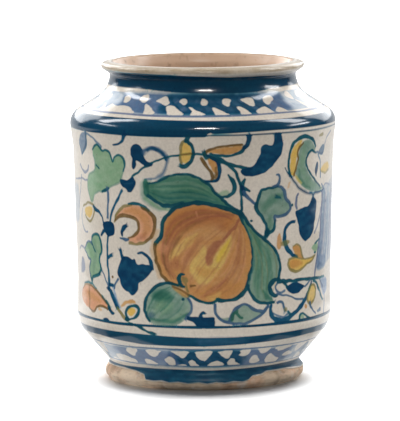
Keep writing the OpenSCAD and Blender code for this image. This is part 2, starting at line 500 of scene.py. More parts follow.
def edge_points(mark):
    """Points on both sides of a mark's edges, so that the mesh follows them."""
    soft = mark["soft"] / 2
    if mark["kind"] == "band":
        s = np.concatenate([np.arange(-HALF_ROUND, -FRONT_HALF - BACK_STEP / 2, BACK_STEP),
                            np.arange(-FRONT_HALF, FRONT_HALF, FRONT_STEP),
                            np.arange(FRONT_HALF, HALF_ROUND, BACK_STEP)])
        low, high = edge_at(mark["low"], s), edge_at(mark["high"], s)
        rows = [low - soft, high + soft]
        if (high - low).min() > 2 * soft + BAND_CORE:
            rows += [low + soft, high - soft]
        else:
            rows.append((low + high) / 2)
        return np.concatenate([np.stack([s, row], 1) for row in rows])
    line = mark["line"]
    out = sides(line, mark["kind"] == "fill")
    if mark["kind"] == "fill":
        return np.concatenate([line + out * off for off in (-soft, soft)])
    half = mark["half"][:, None]
    core = half - soft
    rows = [line + out * (half + soft), line - out * (half + soft)]
    if core.min() > STROKE_CORE:
        rows += [line + out * core, line - out * core]
    else:
        rows.append(line)
    ways = np.stack([-out[:, 1], out[:, 0]], 1)
    for end, way in ((0, -1), (-1, 1)):
        tip = line[end] + way * ways[end] * (half[end] + soft)
        rows.append(np.array([tip]))
    return np.concatenate(rows)


def paint_washes():
    """Thin blue at the panel's two sides, pulled down with a broad brush."""
    fill("wash", [(86.5, 115.5), (98, 119), (110, 121.5), (119, 117), (117, 95), (119, 80), (110, 73),
        (98, 71.5), (81, 68.5), (82.5, 80), (85, 95)], 0.35, 2, 0.5)
    hatch(["wash", "frieze", "violet"], [(87.5, 115), (87, 104), (86, 92), (83, 78), (81.5, 69.5)],
        [(121, 120), (122, 108), (121, 96), (122, 84), (119, 75)], 14, 3, 0.42, 8)
    stroke("frieze", [(89, 114.5), (88.5, 104), (87.5, 92), (85, 78)], [3, 4.5, 4.5, 3.5], 0.42, 1.6, 0.5)
    fill("frieze", [(81.5, 77), (88, 76.5), (94, 75.5), (94, 70), (87, 67.8), (81, 68.5)], 0.5, 1.4, 0.5)
    fill("wash", [(86, 62), (92, 63), (97, 61), (97, 55), (92, 52), (88, 56)], 0.8, 1.2, 0.3)
    fill("wash", [(-98, 117), (-97.5, 107), (-99, 97), (-108, 96), (-111, 108), (-107, 118)], 0.35, 2, 0.3)
    fill("violet", [(-98, 66), (-97, 72), (-95, 75.3), (-92, 74.8), (-90, 70), (-92.5, 66.5), (-96, 65.5)],
        0.6, 1.2, 0.2)


def paint_upper_left():
    """Left of the fruit, above: a blue leaf, a green trefoil, a yellow bud and two knots of the vine."""
    fill("slate", [(-80, 151), (-81, 147), (-81.5, 143.5), (-84, 141), (-88, 139), (-89.5, 136.5),
        (-91, 140), (-92, 143.5), (-89, 148), (-85, 150.5)], 0.8, 0.8, 0.3)
    stroke("cobalt", [(-80.5, 150.5), (-82, 144), (-85, 140.5), (-89, 137.2)], [2, 1.8, 1.6, 0.9], 0.7)
    stroke("slate", [(-79, 150.5), (-75, 149), (-70, 146), (-66, 143.5)], 1.3, 0.6)
    trefoil = [(-75, 141), (-73, 143), (-70, 144.3), (-67.5, 142.8), (-65.5, 141), (-63, 141.8),
        (-60.5, 141), (-58.5, 138.5), (-57.3, 135), (-55.5, 138.2), (-52.5, 139.5), (-49.5, 138.3),
        (-48.2, 135), (-49.5, 130), (-51, 126), (-53.5, 122.8), (-58, 121.2), (-62, 119.5), (-66, 117.2),
        (-70, 116.8), (-74.5, 114.8), (-76.5, 111), (-78.5, 110.2), (-80.5, 113), (-82.5, 118), (-82, 123),
        (-79.5, 126.5), (-75, 128.5), (-73.5, 131), (-73.5, 135), (-75, 138)]
    fill("pale_green", trefoil, 0.92, 0.7, 0.3)
    stroke("teal", trefoil[:14], [1, 1.3, 1.4, 1.3, 1.2, 1.2, 1.3, 1.3, 1.1, 1.2, 1.3, 1.4, 1.3, 1], 0.7)
    stroke("green", trefoil[13:], 1.1, 0.6)
    stroke("teal", [(-72, 132.5), (-69.5, 130.5)], 1.2, 0.7)
    stroke("teal", [(-67, 117.2), (-64, 118), (-61, 119.5)], [1.2, 1.6, 1.2], 0.8)
    stroke("violet", [(-93, 131), (-90, 128.5), (-85.5, 127), (-82, 128.5), (-80.5, 131.5)],
        [1, 1.4, 1.8, 1.5, 1], 0.6)
    stroke("violet", [(-104, 121), (-100, 121.5), (-92, 122.6), (-83, 122.2)], 1.1, 0.6)
    stroke("violet", [(-91.5, 125), (-93, 118), (-95.5, 112), (-97.5, 105)], 1.1, 0.5)
    fill("yellow", [(-87.5, 104.5), (-84.5, 106.5), (-80.5, 107.3), (-77.8, 106), (-78.2, 102.5),
        (-81, 100), (-84.5, 100.8), (-87, 102.5)], 0.85, 1, 0.2)
    stroke("olive", [(-89.5, 106), (-86.5, 107.5), (-82, 109), (-77, 108.3), (-75.8, 106), (-76.5, 102),
        (-79, 98.8), (-82, 98), (-85, 99.5), (-87, 101.5)], 1.3, 0.8)
    stroke("violet", [(-91, 105), (-93, 100), (-92, 95), (-88, 91.5), (-84.5, 91.5)], 1.2, 0.45,
        fade=[0.5, 0.7, 0.7, 1, 1.6])
    stroke("cobalt", [(-76, 107.5), (-73.5, 105.8), (-70, 104.5), (-67.5, 101), (-66, 98)],
        [1.8, 2.4, 1.6, 1.2, 1.2], 0.8)
    fill("cobalt", [(-67.5, 97), (-66, 99.3), (-62, 99.8), (-58, 98.8), (-56.8, 95.5), (-57.5, 92.5),
        (-61, 91), (-65, 92.5)], 0.98)
    stroke("cobalt", [(-66.5, 94), (-69, 91)], [2.2, 1.4], 0.85)
    stroke("slate", [(-62.5, 120), (-61.5, 115), (-62.2, 108), (-62.5, 102)], 1.5, 0.85)
    stroke("cobalt", [(-60.5, 100), (-59.5, 104), (-57, 109), (-54, 113.5), (-50.5, 119)], 1.6, 0.72)
    stroke("cobalt", [(-56, 145.5), (-51.5, 146.7), (-48.7, 149), (-47, 152)], [0.8, 1.4, 1.8, 2.4], 0.85)
    fill("cobalt", [(-52, 124.5), (-51, 125.3), (-47.5, 125.2), (-45.5, 126), (-43, 127.3), (-41.8, 126.5),
        (-40.8, 123.5), (-42, 120.5), (-44, 118.3), (-46.3, 118.3), (-47.5, 119.8), (-50, 120.8),
        (-51.5, 122.5)], 0.97)
    stroke("slate", [(-49, 123), (-45.5, 123.2), (-43, 123.6)], 0.8, 0.5)


def paint_upper_middle():
    """Over the fruit: a double bud, a looping tendril, the vine and a yellow bud."""
    fill("cobalt", [(-43.5, 141), (-43.5, 144), (-42, 146), (-39.5, 147.2), (-37, 146), (-35.5, 143.5),
        (-35.3, 141.5), (-34.8, 139.5), (-33.5, 137.5), (-31, 136.2), (-29.5, 136), (-30, 134.7),
        (-33, 133.8), (-36, 135.2), (-38.5, 136.5), (-40.5, 137), (-40.2, 135), (-40.5, 133), (-42, 132),
        (-43, 133.5), (-43, 137)], 0.97)
    stroke("slate", [(-35, 142.2), (-33, 144), (-30, 144.9), (-26.5, 144.2), (-23, 142), (-21.3, 140),
        (-20.8, 137.5), (-21.8, 133.5), (-24, 130), (-27.5, 127.5), (-31, 126.6), (-34.5, 126.2)],
        [3, 2.8, 2.6, 2.8, 3, 2.4, 2.2, 2.2, 2.4, 2, 1.4, 0.8], 0.9, SOFT_EDGE, 0.3,
        fade=[1, 1, 1, 1, 1, 0.95, 0.9, 0.85, 0.8, 0.75, 0.7, 0.6])
    stroke("cobalt", [(-33, 143.6), (-30, 144.6), (-26.5, 143.8), (-23, 141.6), (-21.2, 138)], 1.2, 0.6,
        SOFT_EDGE, 0.5)
    stroke("teal", [(-43, 127.5), (-40, 129.8), (-36.5, 132.5), (-33, 134.5), (-29.5, 136.5), (-25, 138.3),
        (-20, 139.8), (-14, 141), (-9, 141.8), (-5, 142), (0, 141.5)], 1.1, 0.8)
    fill("yellow", [(-9.8, 148.7), (-7.4, 146.5), (-6.6, 142.5), (-7.6, 138.5), (-10, 136.5),
        (-12.2, 137.2), (-12.8, 142), (-12, 147)], 0.92, 0.8, 0.25)
    stroke("olive", [(-9.5, 149.8), (-12, 148.5), (-13, 145), (-13, 140), (-12.5, 136.5)], 1.4)
    stroke("teal", [(-9.5, 149.5), (-6.8, 147), (-5.8, 142.5), (-7, 138), (-9.5, 135), (-12, 134.3),
        (-13.3, 134.8)], [1.6, 1.8, 1.8, 1.8, 2, 2.2, 1.8], 0.92)
    stroke("teal", [(-9.5, 149.5), (-8, 152)], 2)
    stroke("brown", [(-12.5, 141.2), (-6.5, 142)], 0.9, 0.6)


def paint_orange_scroll():
    """Left of the fruit: a leaf rolled into an orange crescent, with a blue comma inside it."""
    outer = [(-57, 100), (-55, 105), (-50, 109), (-44, 111), (-37, 110), (-32, 107), (-29, 103), (-29, 98),
        (-31, 93), (-35, 89.5), (-40, 88), (-46, 88.5)]
    inner = [(-46.5, 91), (-43, 92.5), (-40, 95.5), (-39.3, 99), (-41, 102), (-45, 104), (-49, 104.3),
        (-53, 103.5), (-56.5, 101)]
    fill("peach", outer + inner, 0.9, 0.9, 0.25)
    fill("orange", [(-50, 106.5), (-44, 109.5), (-37, 108.5), (-32.5, 104.5), (-31, 98), (-34, 92.5),
        (-37, 93), (-36.5, 99), (-39, 103), (-44, 105.3)], 0.7, 2.4, 0.35)
    stroke("rust", [(-40, 91), (-36.5, 92.5), (-35, 95)], [1.5, 3, 1.5], 0.35, 1.6)
    stroke("olive", outer[:4], [1, 1.5, 1.8, 1.4])
    stroke("teal", [(-46.5, 111.2), (-43, 111.7), (-38.5, 111.4), (-35, 110), (-32.5, 108.2)],
        [1, 1.8, 1.5, 1.6, 1.4], 0.75)
    stroke("brown", outer[4:10], [1.3, 2, 2.1, 1.9, 1.8, 1.4], 0.85)
    stroke("olive", outer[9:], [1.4, 1.6, 1.5], 0.8)
    stroke("brown", inner, [0.9, 1.5, 1.7, 1.6, 1.8, 2, 2, 1.8, 1.2], 0.8)
    stroke("slate", [(-53, 90.7), (-50.5, 90.5), (-48.5, 89.9), (-46.5, 90.4)], [1, 1.7, 1.7, 1], 0.95)
    stroke("cobalt", [(-47.8, 98.3), (-50, 97), (-51.3, 95), (-51.2, 92.3)], [2.2, 2.4, 1.6, 1.1], 0.95)
    stroke("orange", [(-27.5, 96.5), (-30, 91), (-30.5, 84), (-28, 76), (-26, 69)], 2.6, 0.32, 1.6)


def paint_fruit_leaf():
    """The long green leaf that lies over the top of the fruit."""
    fill("green", [(-37.5, 124), (-34, 125.5), (-30, 124), (-26, 113), (-22, 110), (-25, 108.5),
        (-30, 109.5), (-34.5, 112.5), (-37.5, 116)], 0.6, 2, 0.4)
    back = [(-28, 124.8), (-23, 127.5), (-18, 129.2), (-12, 130), (-6, 129.2), (0, 126), (3, 124.2),
        (5, 121), (8, 117.8), (11, 115), (14.5, 111.5), (18, 109), (21, 107.2)]
    tip = [(-33, 117), (-29, 114.5), (-25, 111.8), (-20, 111.2), (-17, 111.8), (-12, 112.5)]
    fill("leaf", [(-34.5, 124.5)] + back + [(14, 109.3), (8, 111.3), (2, 112.8), (-5, 113.3)] + tip[::-1],
        0.95, 0.8, 0.35, (7, 1.6))
    fill("green", [(-6, 127), (-1, 124.5), (2.5, 121.5), (0, 119.5), (-5, 121), (-8, 124)], 0.55, 2.4, 0.4)
    stroke("dark_green", [(-30, 119.5), (-22, 117), (-12, 117.5), (-2, 116), (8, 113)], [2, 5, 6, 4, 1.5],
        0.55, 3, 0.5)
    stroke("green", [(-28, 122), (-20, 124.8), (-12, 126)], [1.5, 2.5, 1.5], 0.5, 1.8, 0.4)
    hatch(["dark_green", "green", "teal", "pale_green"], [(-33, 123), (-20, 127), (-6, 127.5), (4, 121),
        (12, 113.5), (19, 108.5)], [(-32, 118), (-22, 113), (-8, 113.5), (4, 112.8), (12, 110.5),
        (19, 107.8)], 20, 0.9, 0.35, 5)
    stroke("teal", [(-33, 123.5)] + back,
        [0.9, 1.2, 1.4, 1.3, 1.3, 1.4, 1.4, 1.5, 1.5, 1.5, 1.5, 1.5, 1.6, 1.8])
    stroke("dark_green", [(-34.5, 125), (-34, 119), (-33, 116.5)], [2.6, 3.6, 2.4], 0.85, 0.9)
    stroke("teal", tip, [1.6, 1.8, 2, 2.2, 2.2, 2.4], 0.85)
    stroke("pale_green", [(-35, 115), (-29, 111.5), (-24, 109.3), (-20, 109.5)], 1.4, 0.7, 0.9)


def paint_fruit():
    """The fruit: orange, with flames of yellow and rust from its stalk to its eye."""
    outline = [(21, 106.5), (20, 107), (14, 109.2), (8, 111.3), (2, 112.7), (-4, 113.3), (-9, 112.6),
        (-14, 111), (-18.5, 108.5), (-22, 105), (-24, 101), (-24.6, 96.5), (-25.2, 93), (-27.5, 90.5),
        (-29, 88.5), (-29, 84), (-28.5, 79.5), (-27, 75), (-25.5, 71), (-23.5, 68.8), (-20, 66),
        (-16, 64.8), (-12.5, 63.8)]
    below = [(-9, 59), (-6, 57.5), (-3, 55.8), (1, 54.5), (5, 54.5), (8, 56.3), (9, 55.8), (13, 55.8),
        (17.5, 56.3), (21.5, 58.3), (24.5, 61.5), (26, 65), (27.2, 70), (28.8, 76), (29.2, 82),
        (28.6, 87.5), (27.3, 92.5), (25.3, 97), (23.3, 101), (21.7, 105)]
    fill("orange", outline + below, 0.97, 0.8, 0.2, (5, 2.4))
    fill("fruit", [(16, 106.5), (4, 111), (-8, 111), (-17, 107.5), (-22, 101.5), (-23.5, 94), (-20, 91),
        (-12, 96), (-4, 100), (6, 101), (13, 98), (18, 101)], 0.8, 5, 0.3)
    fill("rust", [(12, 104.5), (0, 108), (-10, 106), (-14, 101), (-6, 100.5), (4, 99.5), (12, 97)], 0.35, 5,
        0.4)
    fill("amber", [(-26, 86), (-23, 88), (-14, 79), (-10, 70), (-13, 67), (-20, 69), (-25.5, 76)], 0.55, 4,
        0.3)
    fill("amber", [(-6, 61), (4, 64), (14, 66), (22, 66), (20, 60), (12, 57.5), (2, 57)], 0.65, 4, 0.3)
    fill("orange", [(11, 63), (16, 63.5), (21, 61.5), (18, 58.8), (12, 59)], 0.6, 2, 0.2)
    fill("flame", [(1, 57.5), (6, 60.2), (10, 60.5), (9, 57.5), (5, 55.8)], 0.7, 1.6, 0.2)
    stroke("amber", [(22, 99), (25, 92), (26.6, 84), (26.6, 76), (25, 68)], [1, 2, 2.4, 2.2, 1.5], 0.6, 1.4)
    fill("flame", [(0, 88.5), (-3, 84.5), (-6.5, 80), (-8.5, 76), (-7, 71), (-4, 66.5), (0, 65.5), (5, 68),
        (9, 72), (12, 77.5), (14.5, 83), (16.3, 90), (15.8, 93.8), (12, 90), (8.5, 86), (5.5, 81), (4, 77),
        (2.2, 76), (1, 79.5), (1.5, 84)], 0.9, 1.6, 0.3, (2.4, 2.4))
    fill("bright", [(15, 91.5), (11, 87.5), (8, 83), (7, 79), (9.5, 78.5), (12.5, 83), (14.5, 88)], 0.75,
        1.8, 0.2)
    fill("amber", [(-3, 71), (2, 69.5), (6, 72), (7, 75), (3, 74.5), (-1, 75.5), (-4.5, 75)], 0.5, 2.4, 0.3)
    stroke("flame", [(-4, 95.3), (-7.5, 92), (-12, 88), (-16, 84.5), (-19, 82), (-20.5, 78), (-21.5, 74)],
        [1, 3, 4.5, 4, 3, 2, 1], 0.85, 1.4, 0.3, [1, 1, 1, 1, 0.8, 0.6, 0.3])
    fill("rust", [(3.5, 88), (1.5, 84), (1, 79.5), (2.2, 76.5), (4.5, 77.5), (6, 82), (9, 87.5), (12, 91),
        (7, 91)], 0.75, 1.2, 0.3)
    stroke("rust", [(-1, 93), (-5, 88), (-9, 82.5), (-12, 77), (-13, 73)], [1, 2.4, 3, 2.4, 1], 0.4, 1.8,
        0.4)
    stroke("rust", [(14, 68.5), (10, 65.5), (4, 62), (0, 59)], [1, 1.8, 2, 1], 0.5, 1.4)
    stroke("rust", [(19, 95), (20.5, 86), (20, 77), (17, 70)], [1, 2.5, 2.5, 1], 0.3, 2, 0.4)
    guides = [
        [(17, 106.5), (4, 110), (-9, 108.5), (-18, 103.5), (-22.5, 96), (-26, 86), (-24.5, 76),
         (-20, 68.5)],
        [(18, 104.5), (6, 104), (-5, 100), (-13, 93), (-18, 85), (-20, 78), (-18, 72), (-14, 68)],
        [(19, 103), (12, 97.5), (4, 91), (-3, 84), (-8, 77), (-10, 72), (-10.5, 68), (-9, 64)],
        [(20, 102), (18, 94), (15, 86), (10, 77), (4, 70), (0, 64), (-4, 61), (-6, 59)],
        [(21.5, 103), (25, 94), (26.5, 84), (26, 75), (23, 66.5), (17, 60.5), (9, 57.5), (2, 57)],
    ]
    hatch(["rust", "rust", "brown", "orange"], guides[0], guides[1], 22, 0.9, 0.4, 1)
    hatch(["rust", "orange", "peach"], guides[1], guides[2], 12, 0.9, 0.38, 2)
    hatch(["amber", "flame", "rust"], guides[2], guides[3], 8, 0.9, 0.3, 3)
    hatch(["rust", "orange", "peach", "amber"], guides[3], guides[4], 18, 0.9, 0.4, 4)
    dab("peach", (-24, 86), 3.2, 3, 0.6, 2.4)
    dab("rust", (-17, 77), 3.4, 3, 0.4, 2.6)
    stroke("rust", [(20.5, 103), (18, 98.5), (14, 94.5), (11, 91.5)], [1.4, 1.8, 1.6, 1.2], 0.75)
    stroke("rust", [(7, 106), (12, 105), (16, 103.5)], 0.9, 0.5)
    stroke("peach", [(-4.3, 108), (-3.6, 105.5)], 1, 0.5)
    stroke("teal", outline[:15], [2.2, 2.4, 2.2, 2.2, 2.2, 2.3, 2.2, 2.3, 2.2, 2, 2, 2, 2.2, 2.2, 1.9],
        0.95)
    stroke("brown", outline[14:], [1.9, 1.6, 1.5, 1.5, 1.5, 1.6, 1.6, 1.5, 1.2])
    stroke("teal", below,
        [1.5, 1.6, 1.5, 1.5, 1.6, 1.9, 1.9, 1.9, 2, 2.1, 2.2, 2.1, 2, 1.9, 1.8, 1.8, 1.8, 1.9, 2, 2.4],
        0.95)
    fill("olive", [(-12.8, 69.3), (-10.2, 69), (-9.4, 66.8), (-11, 65.5), (-12.8, 66.8)], 0.75, 0.8)
    stroke("teal", [(-11.5, 71.3), (-13.5, 71), (-14.8, 69), (-14.2, 66.5), (-13, 64.5), (-11.8, 63.8)],
        [1, 1.5, 2, 2, 1.6, 1.2], 0.95)
    stroke("olive", [(-10.8, 65.7), (-9.5, 61)], 1.2, 0.85)
    stroke("brown", [(-7.5, 64.2), (-5, 64.5)], [1.6, 1])


def paint_ball():
    """Below the fruit: a green ball, an orange wedge, a blue half flower and a curled green leaf."""
    ball = [(-36, 50), (-35.5, 55), (-33.5, 59), (-30, 62.5), (-26, 64.8), (-21, 66), (-16, 63.5),
        (-12, 60), (-9.5, 57.5), (-8, 55), (-7.5, 52), (-8.5, 48.5), (-11, 45), (-14.5, 42.2), (-18, 41),
        (-24, 40.5), (-29, 41.3), (-33, 43), (-35.3, 46)]
    fill("green", ball, 0.85, 0.8, 0.35)
    dab("dark_green", (-25, 58), 6, 3.4, 0.8, 3)
    stroke("dark_green", [(-33, 45), (-29, 43.6), (-25, 43.5), (-19, 43.6), (-15, 44.5), (-10, 48)],
        [1.5, 2, 2, 2, 2, 1.2], 0.55, 1.2, 0.3)
    dab("pale_green", (-24, 52), 5.5, 3.2, 0.55, 4)
    dab("slate", (-32, 46.5), 2.4, 1.8, 0.5, 2)
    hatch(["dark_green", "leaf", "pale_green"], [(-35, 48), (-32.5, 55.5), (-28, 61), (-21, 64)],
        [(-24, 42.5), (-17, 44), (-11, 49), (-9.5, 55)], 15, 1.1, 0.36, 7)
    stroke("teal", [(-15.5, 64.6)] + ball[5::-1] + ball[:16:-1],
        [1.2, 1.6, 1.7, 1.7, 1.7, 1.6, 1.5, 1.4, 1.1], 0.92)
    stroke("slate", ball[8:13], 1.4)
    dab("teal", (-12.5, 56.5), 1)
    fill("amber", [(-18.5, 64.3), (-12, 62), (-8.5, 59.5), (-9.5, 57.8), (-13, 58.5), (-17, 61.5)], 0.8,
        1.2)
    stroke("brown", [(-18.5, 64), (-13, 61.8), (-8.8, 59)], 1.1, 0.7)
    fill("cobalt", [(-10, 47), (-8, 46.3), (-3, 46.5), (0, 46), (5.5, 46.2), (6.3, 44.5), (6.3, 41.8),
        (5, 40.5), (-3, 40.5), (-5, 41.8), (-7, 43.8), (-10, 45)], 0.97)
    stroke("cobalt", [(-2, 46.5), (-1.8, 48), (-0.5, 49), (0.5, 48.3)], [1.8, 1.6, 1.6, 1.2], 0.92)
    fill("green", [(7.5, 46), (10.5, 44), (15, 42.8), (23, 42), (28, 43), (32, 45.2), (38, 49.5),
        (35.5, 48.3), (32, 49), (29, 50.5), (25.5, 52.3), (22, 52.3), (18.5, 50), (16, 46.5), (12, 45.5)],
        0.72, 0.9, 0.35)
    stroke("slate", [(6.3, 53.5), (6.2, 50), (7.5, 46.8), (10, 44.5), (13.5, 42.8), (17, 42)],
        [1.5, 1.6, 1.7, 1.7, 1.5, 1.2], 0.95)
    stroke("slate", [(15, 44), (16, 47), (18.5, 50.5), (22, 52.7), (25.5, 52.5), (29, 50.3), (32, 48.8),
        (35.5, 48), (38, 50), (39.3, 51.8)], [1.3, 1.5, 1.7, 1.7, 1.6, 1.6, 1.8, 1.8, 1.4, 1], 0.95)
    stroke("slate", [(17, 41.8), (23, 41.8), (28, 43), (32, 45.2), (36, 47.5), (39, 51)], 1.4)
    stroke("dark_green", [(16, 44), (17, 47.5), (19.5, 49.5)], 1.6, 0.85)
    stroke("dark_green", [(19.5, 47.5), (21, 45.5), (22.5, 45.2)], 1.4, 0.85)


def paint_right_leaf():
    """The green leaf that hangs from the stalk down the right side of the fruit."""
    outer = [(21.8, 106), (24, 103.8), (26, 100.8), (29, 97), (32.5, 93.8), (36, 91), (39.5, 88),
        (43, 84.5), (45.8, 80), (47.3, 75.5), (47, 70.5), (46, 66.5)]
    low = [(43, 53), (40, 52.8), (36, 53), (32, 54.2), (29, 57), (27, 60.5), (26.2, 64)]
    fruit_side = [(27.2, 68), (28.3, 73), (29, 79), (29, 85), (28.2, 90), (26.8, 94.5), (24.5, 99.5),
        (22, 105)]
    fill("green", outer + [(41.5, 64), (40.5, 60), (41.2, 57)] + low + fruit_side, 0.95, 0.8, 0.35,
        (1.8, 7))
    stroke("leaf", [(29.5, 96), (32.5, 87), (33, 77), (31.5, 66), (32.5, 57)], [1.5, 3.4, 3.6, 3, 1.6], 0.6,
        1.8, 0.4)
    stroke("leaf", [(38, 88), (40, 78), (39, 68), (38, 58)], [1.2, 2.2, 2, 1.5], 0.55, 1.6, 0.4)
    stroke("pale_green", [(36, 89), (37, 79), (36, 68), (36.5, 60)], [1, 2, 2, 1], 0.45, 1.6, 0.4)
    stroke("dark_green", [(36, 60), (38, 56.5), (41, 55)], [1.2, 2.2, 1.4], 0.6, 1.2)
    hatch(["leaf", "olive", "dark_green", "pale_green"], [(24, 102), (32, 93.5), (40, 86.5), (45, 77),
        (45, 67), (41, 57)], [(23.5, 101), (28.5, 90), (30.5, 79), (29.5, 68), (29, 60), (34, 55)], 18, 0.9,
        0.38, 6)
    stroke("teal", outer, [2.4, 1.8, 1.6, 1.4, 1.4, 1.5, 1.6, 1.7, 1.7, 1.7, 1.6, 1.4], 0.92)
    stroke("teal", low, [1.6, 1.9, 1.8, 1.8, 1.7, 1.7, 1.7], 0.88)


def paint_centre_top():
    """Where the stalk forks: two orange leaves, a great blue leaf and curled tendrils."""
    fill("amber", [(2, 142.6), (5, 144.2), (10, 145.2), (16, 145.8), (21.5, 146.2), (21.5, 143.8),
        (17, 141.8), (12, 141.3), (7, 141.8)], 0.9, 0.8, 0.2)
    stroke("brown", [(0.5, 141.5), (2, 143.5), (5, 145), (10, 146), (16, 146.6), (22, 147)],
        [1.8, 1.6, 1.4, 1.3, 1.3, 1.2])
    stroke("teal", [(4, 142), (7, 141), (12, 140.5), (17, 141), (22, 143.2), (24, 145.5)],
        [1.2, 1.4, 1.4, 1.5, 1.7, 2])
    stroke("cobalt", [(25.8, 152), (26, 149), (25, 146.5), (23.5, 144.8)], [2.6, 2.4, 2.2, 1.8], 0.92)
    fill("amber", [(1.5, 139.5), (5.5, 138.5), (8, 134), (7.8, 129.5), (6.8, 129.5), (5, 133), (2.5, 137)],
        0.92, 0.8, 0.2)
    stroke("brown", [(7.2, 134), (7.2, 130), (6.6, 128)], [1, 2, 1.8], 0.7, 1)
    stroke("brown", [(-1.5, 139.5), (1, 136), (4, 131.5), (5, 127.8), (4.5, 126)],
        [1.4, 1.7, 1.8, 1.6, 1.2], 0.92)
    stroke("cobalt", [(2, 140.5), (6, 139), (8.5, 136), (9.3, 132), (9, 128.5), (7.5, 126.5), (5, 125.8),
        (1.5, 125.5)], [1.4, 1.7, 1.8, 2, 1.8, 1.6, 1.4, 1.2], 0.95)
    stroke("teal", [(0.3, 143.3), (1, 141), (2, 139.6)], 2, 0.85)
    stroke("teal", [(4, 140), (9, 138.8), (12, 137), (16, 135.2), (21, 133.8), (25, 133.2), (28, 132.5)],
        [1.4, 1.6, 1.6, 1.7, 1.9, 1.8, 1.6], 0.92)
    stroke("teal", [(8, 137.5), (12, 136.2), (15, 134.2), (18, 131), (20, 127), (21.5, 123), (22, 119),
        (22, 113), (21.8, 108), (21.5, 106)], [1.3, 1.4, 1.4, 1.4, 1.5, 1.7, 1.6, 1.4, 1.6, 2.2], 0.92)
    fill("cobalt", [(21.5, 131.5), (24, 132.8), (28, 133.5), (30.5, 135.5), (32, 138.5), (33.5, 142),
        (33.8, 145), (36, 146.2), (39, 145.6), (41, 146), (41.5, 148.5), (41.8, 152), (46, 152),
        (47.5, 149), (48.2, 145), (47.5, 141), (45, 137), (41.5, 133.5), (37, 130.3), (32, 128.5),
        (27, 127.8), (23.5, 128.5), (21.8, 130)], 0.98, SOFT_EDGE, 0.3)
    fill("pale_green", [(8, 118.5), (12, 120.5), (15, 119.5), (14, 117.5), (10, 116.8)], 0.5, 1.4)
    stroke("teal", [(14, 129.3), (16.5, 126.5), (17.7, 123), (17, 119), (14, 116.8), (11, 116.8),
        (8.5, 117.2)], [1, 2, 2.3, 2, 1.5, 1.2, 0.9], 0.92)
    stroke("teal", [(23.8, 126.5), (22.8, 124.5), (23, 122), (25, 120.3), (26.8, 119.2)],
        [1.2, 1.7, 2, 1.7, 1.2], 0.92)
    fill("cobalt", [(21.5, 122.5), (23.5, 122.5), (24.5, 119.5), (25, 116.5), (22.8, 117), (22, 119.5)],
        0.92)
    stroke("slate", [(23, 119), (25.5, 115.8), (28.5, 113), (31, 111.5)], [1.9, 1.6, 1.3, 1.2], 0.95)
    dab("teal", (27.8, 102), 0.8)
    dab("teal", (56, 109.3), 0.9)


def paint_right_trefoil():
    """Right of the fruit: a green trefoil with a blue rim."""
    rim = [(31, 110), (32, 113.5), (33.2, 117), (34.5, 119.5), (38, 120.2), (42, 120.5), (45, 121),
        (48, 120.3), (50, 118.2), (50.5, 115.5), (51.5, 113), (54, 110.5), (54.8, 108), (53, 105.3),
        (50, 103.8), (46, 103.2), (43, 103.8), (43.5, 101), (43.3, 98), (42, 95.5), (39.5, 93.8),
        (37.5, 92.5), (37.8, 95), (37.5, 98), (36.3, 101.5), (34, 104.2), (32, 107)]
    fill("green", rim, 0.93, 0.8, 0.35)
    stroke("leaf", [(35, 108), (39, 112), (44, 115), (48, 116)], [2, 4, 4, 2], 0.55, 2, 0.4)
    stroke("leaf", [(40, 103), (40.5, 99), (39.5, 95.5)], [2, 2.6, 1.6], 0.5, 1.4)
    stroke("slate", rim[6:18], [1.4, 1.8, 2, 2, 1.9, 2, 2, 2, 1.9, 1.7, 1.5, 1.3], 0.92)
    stroke("teal", rim[17:23], [1.3, 1.5, 1.6, 1.6, 1.9, 2.3], 0.85)
    stroke("teal", rim[22:] + rim[:7], [2.3, 1.7, 1.6, 1.7, 1.9, 2, 2, 1.9, 1.7, 1.5, 1.4, 1.3])
    stroke("teal", [(44, 114.8), (47, 114)], [1.8, 1], 0.7, 0.9)
    stroke("teal", [(38.5, 95), (37.5, 92.5)], 2.4, 0.85)
    stroke("slate", [(44.2, 128.2), (45.8, 128), (46.5, 125.5), (45.3, 122.5), (42, 121)],
        [1.1, 1.6, 1.8, 1.6, 1.2], 0.95)
    stroke("orange", [(52.5, 120), (54, 122.5)], 1.2, 0.35)


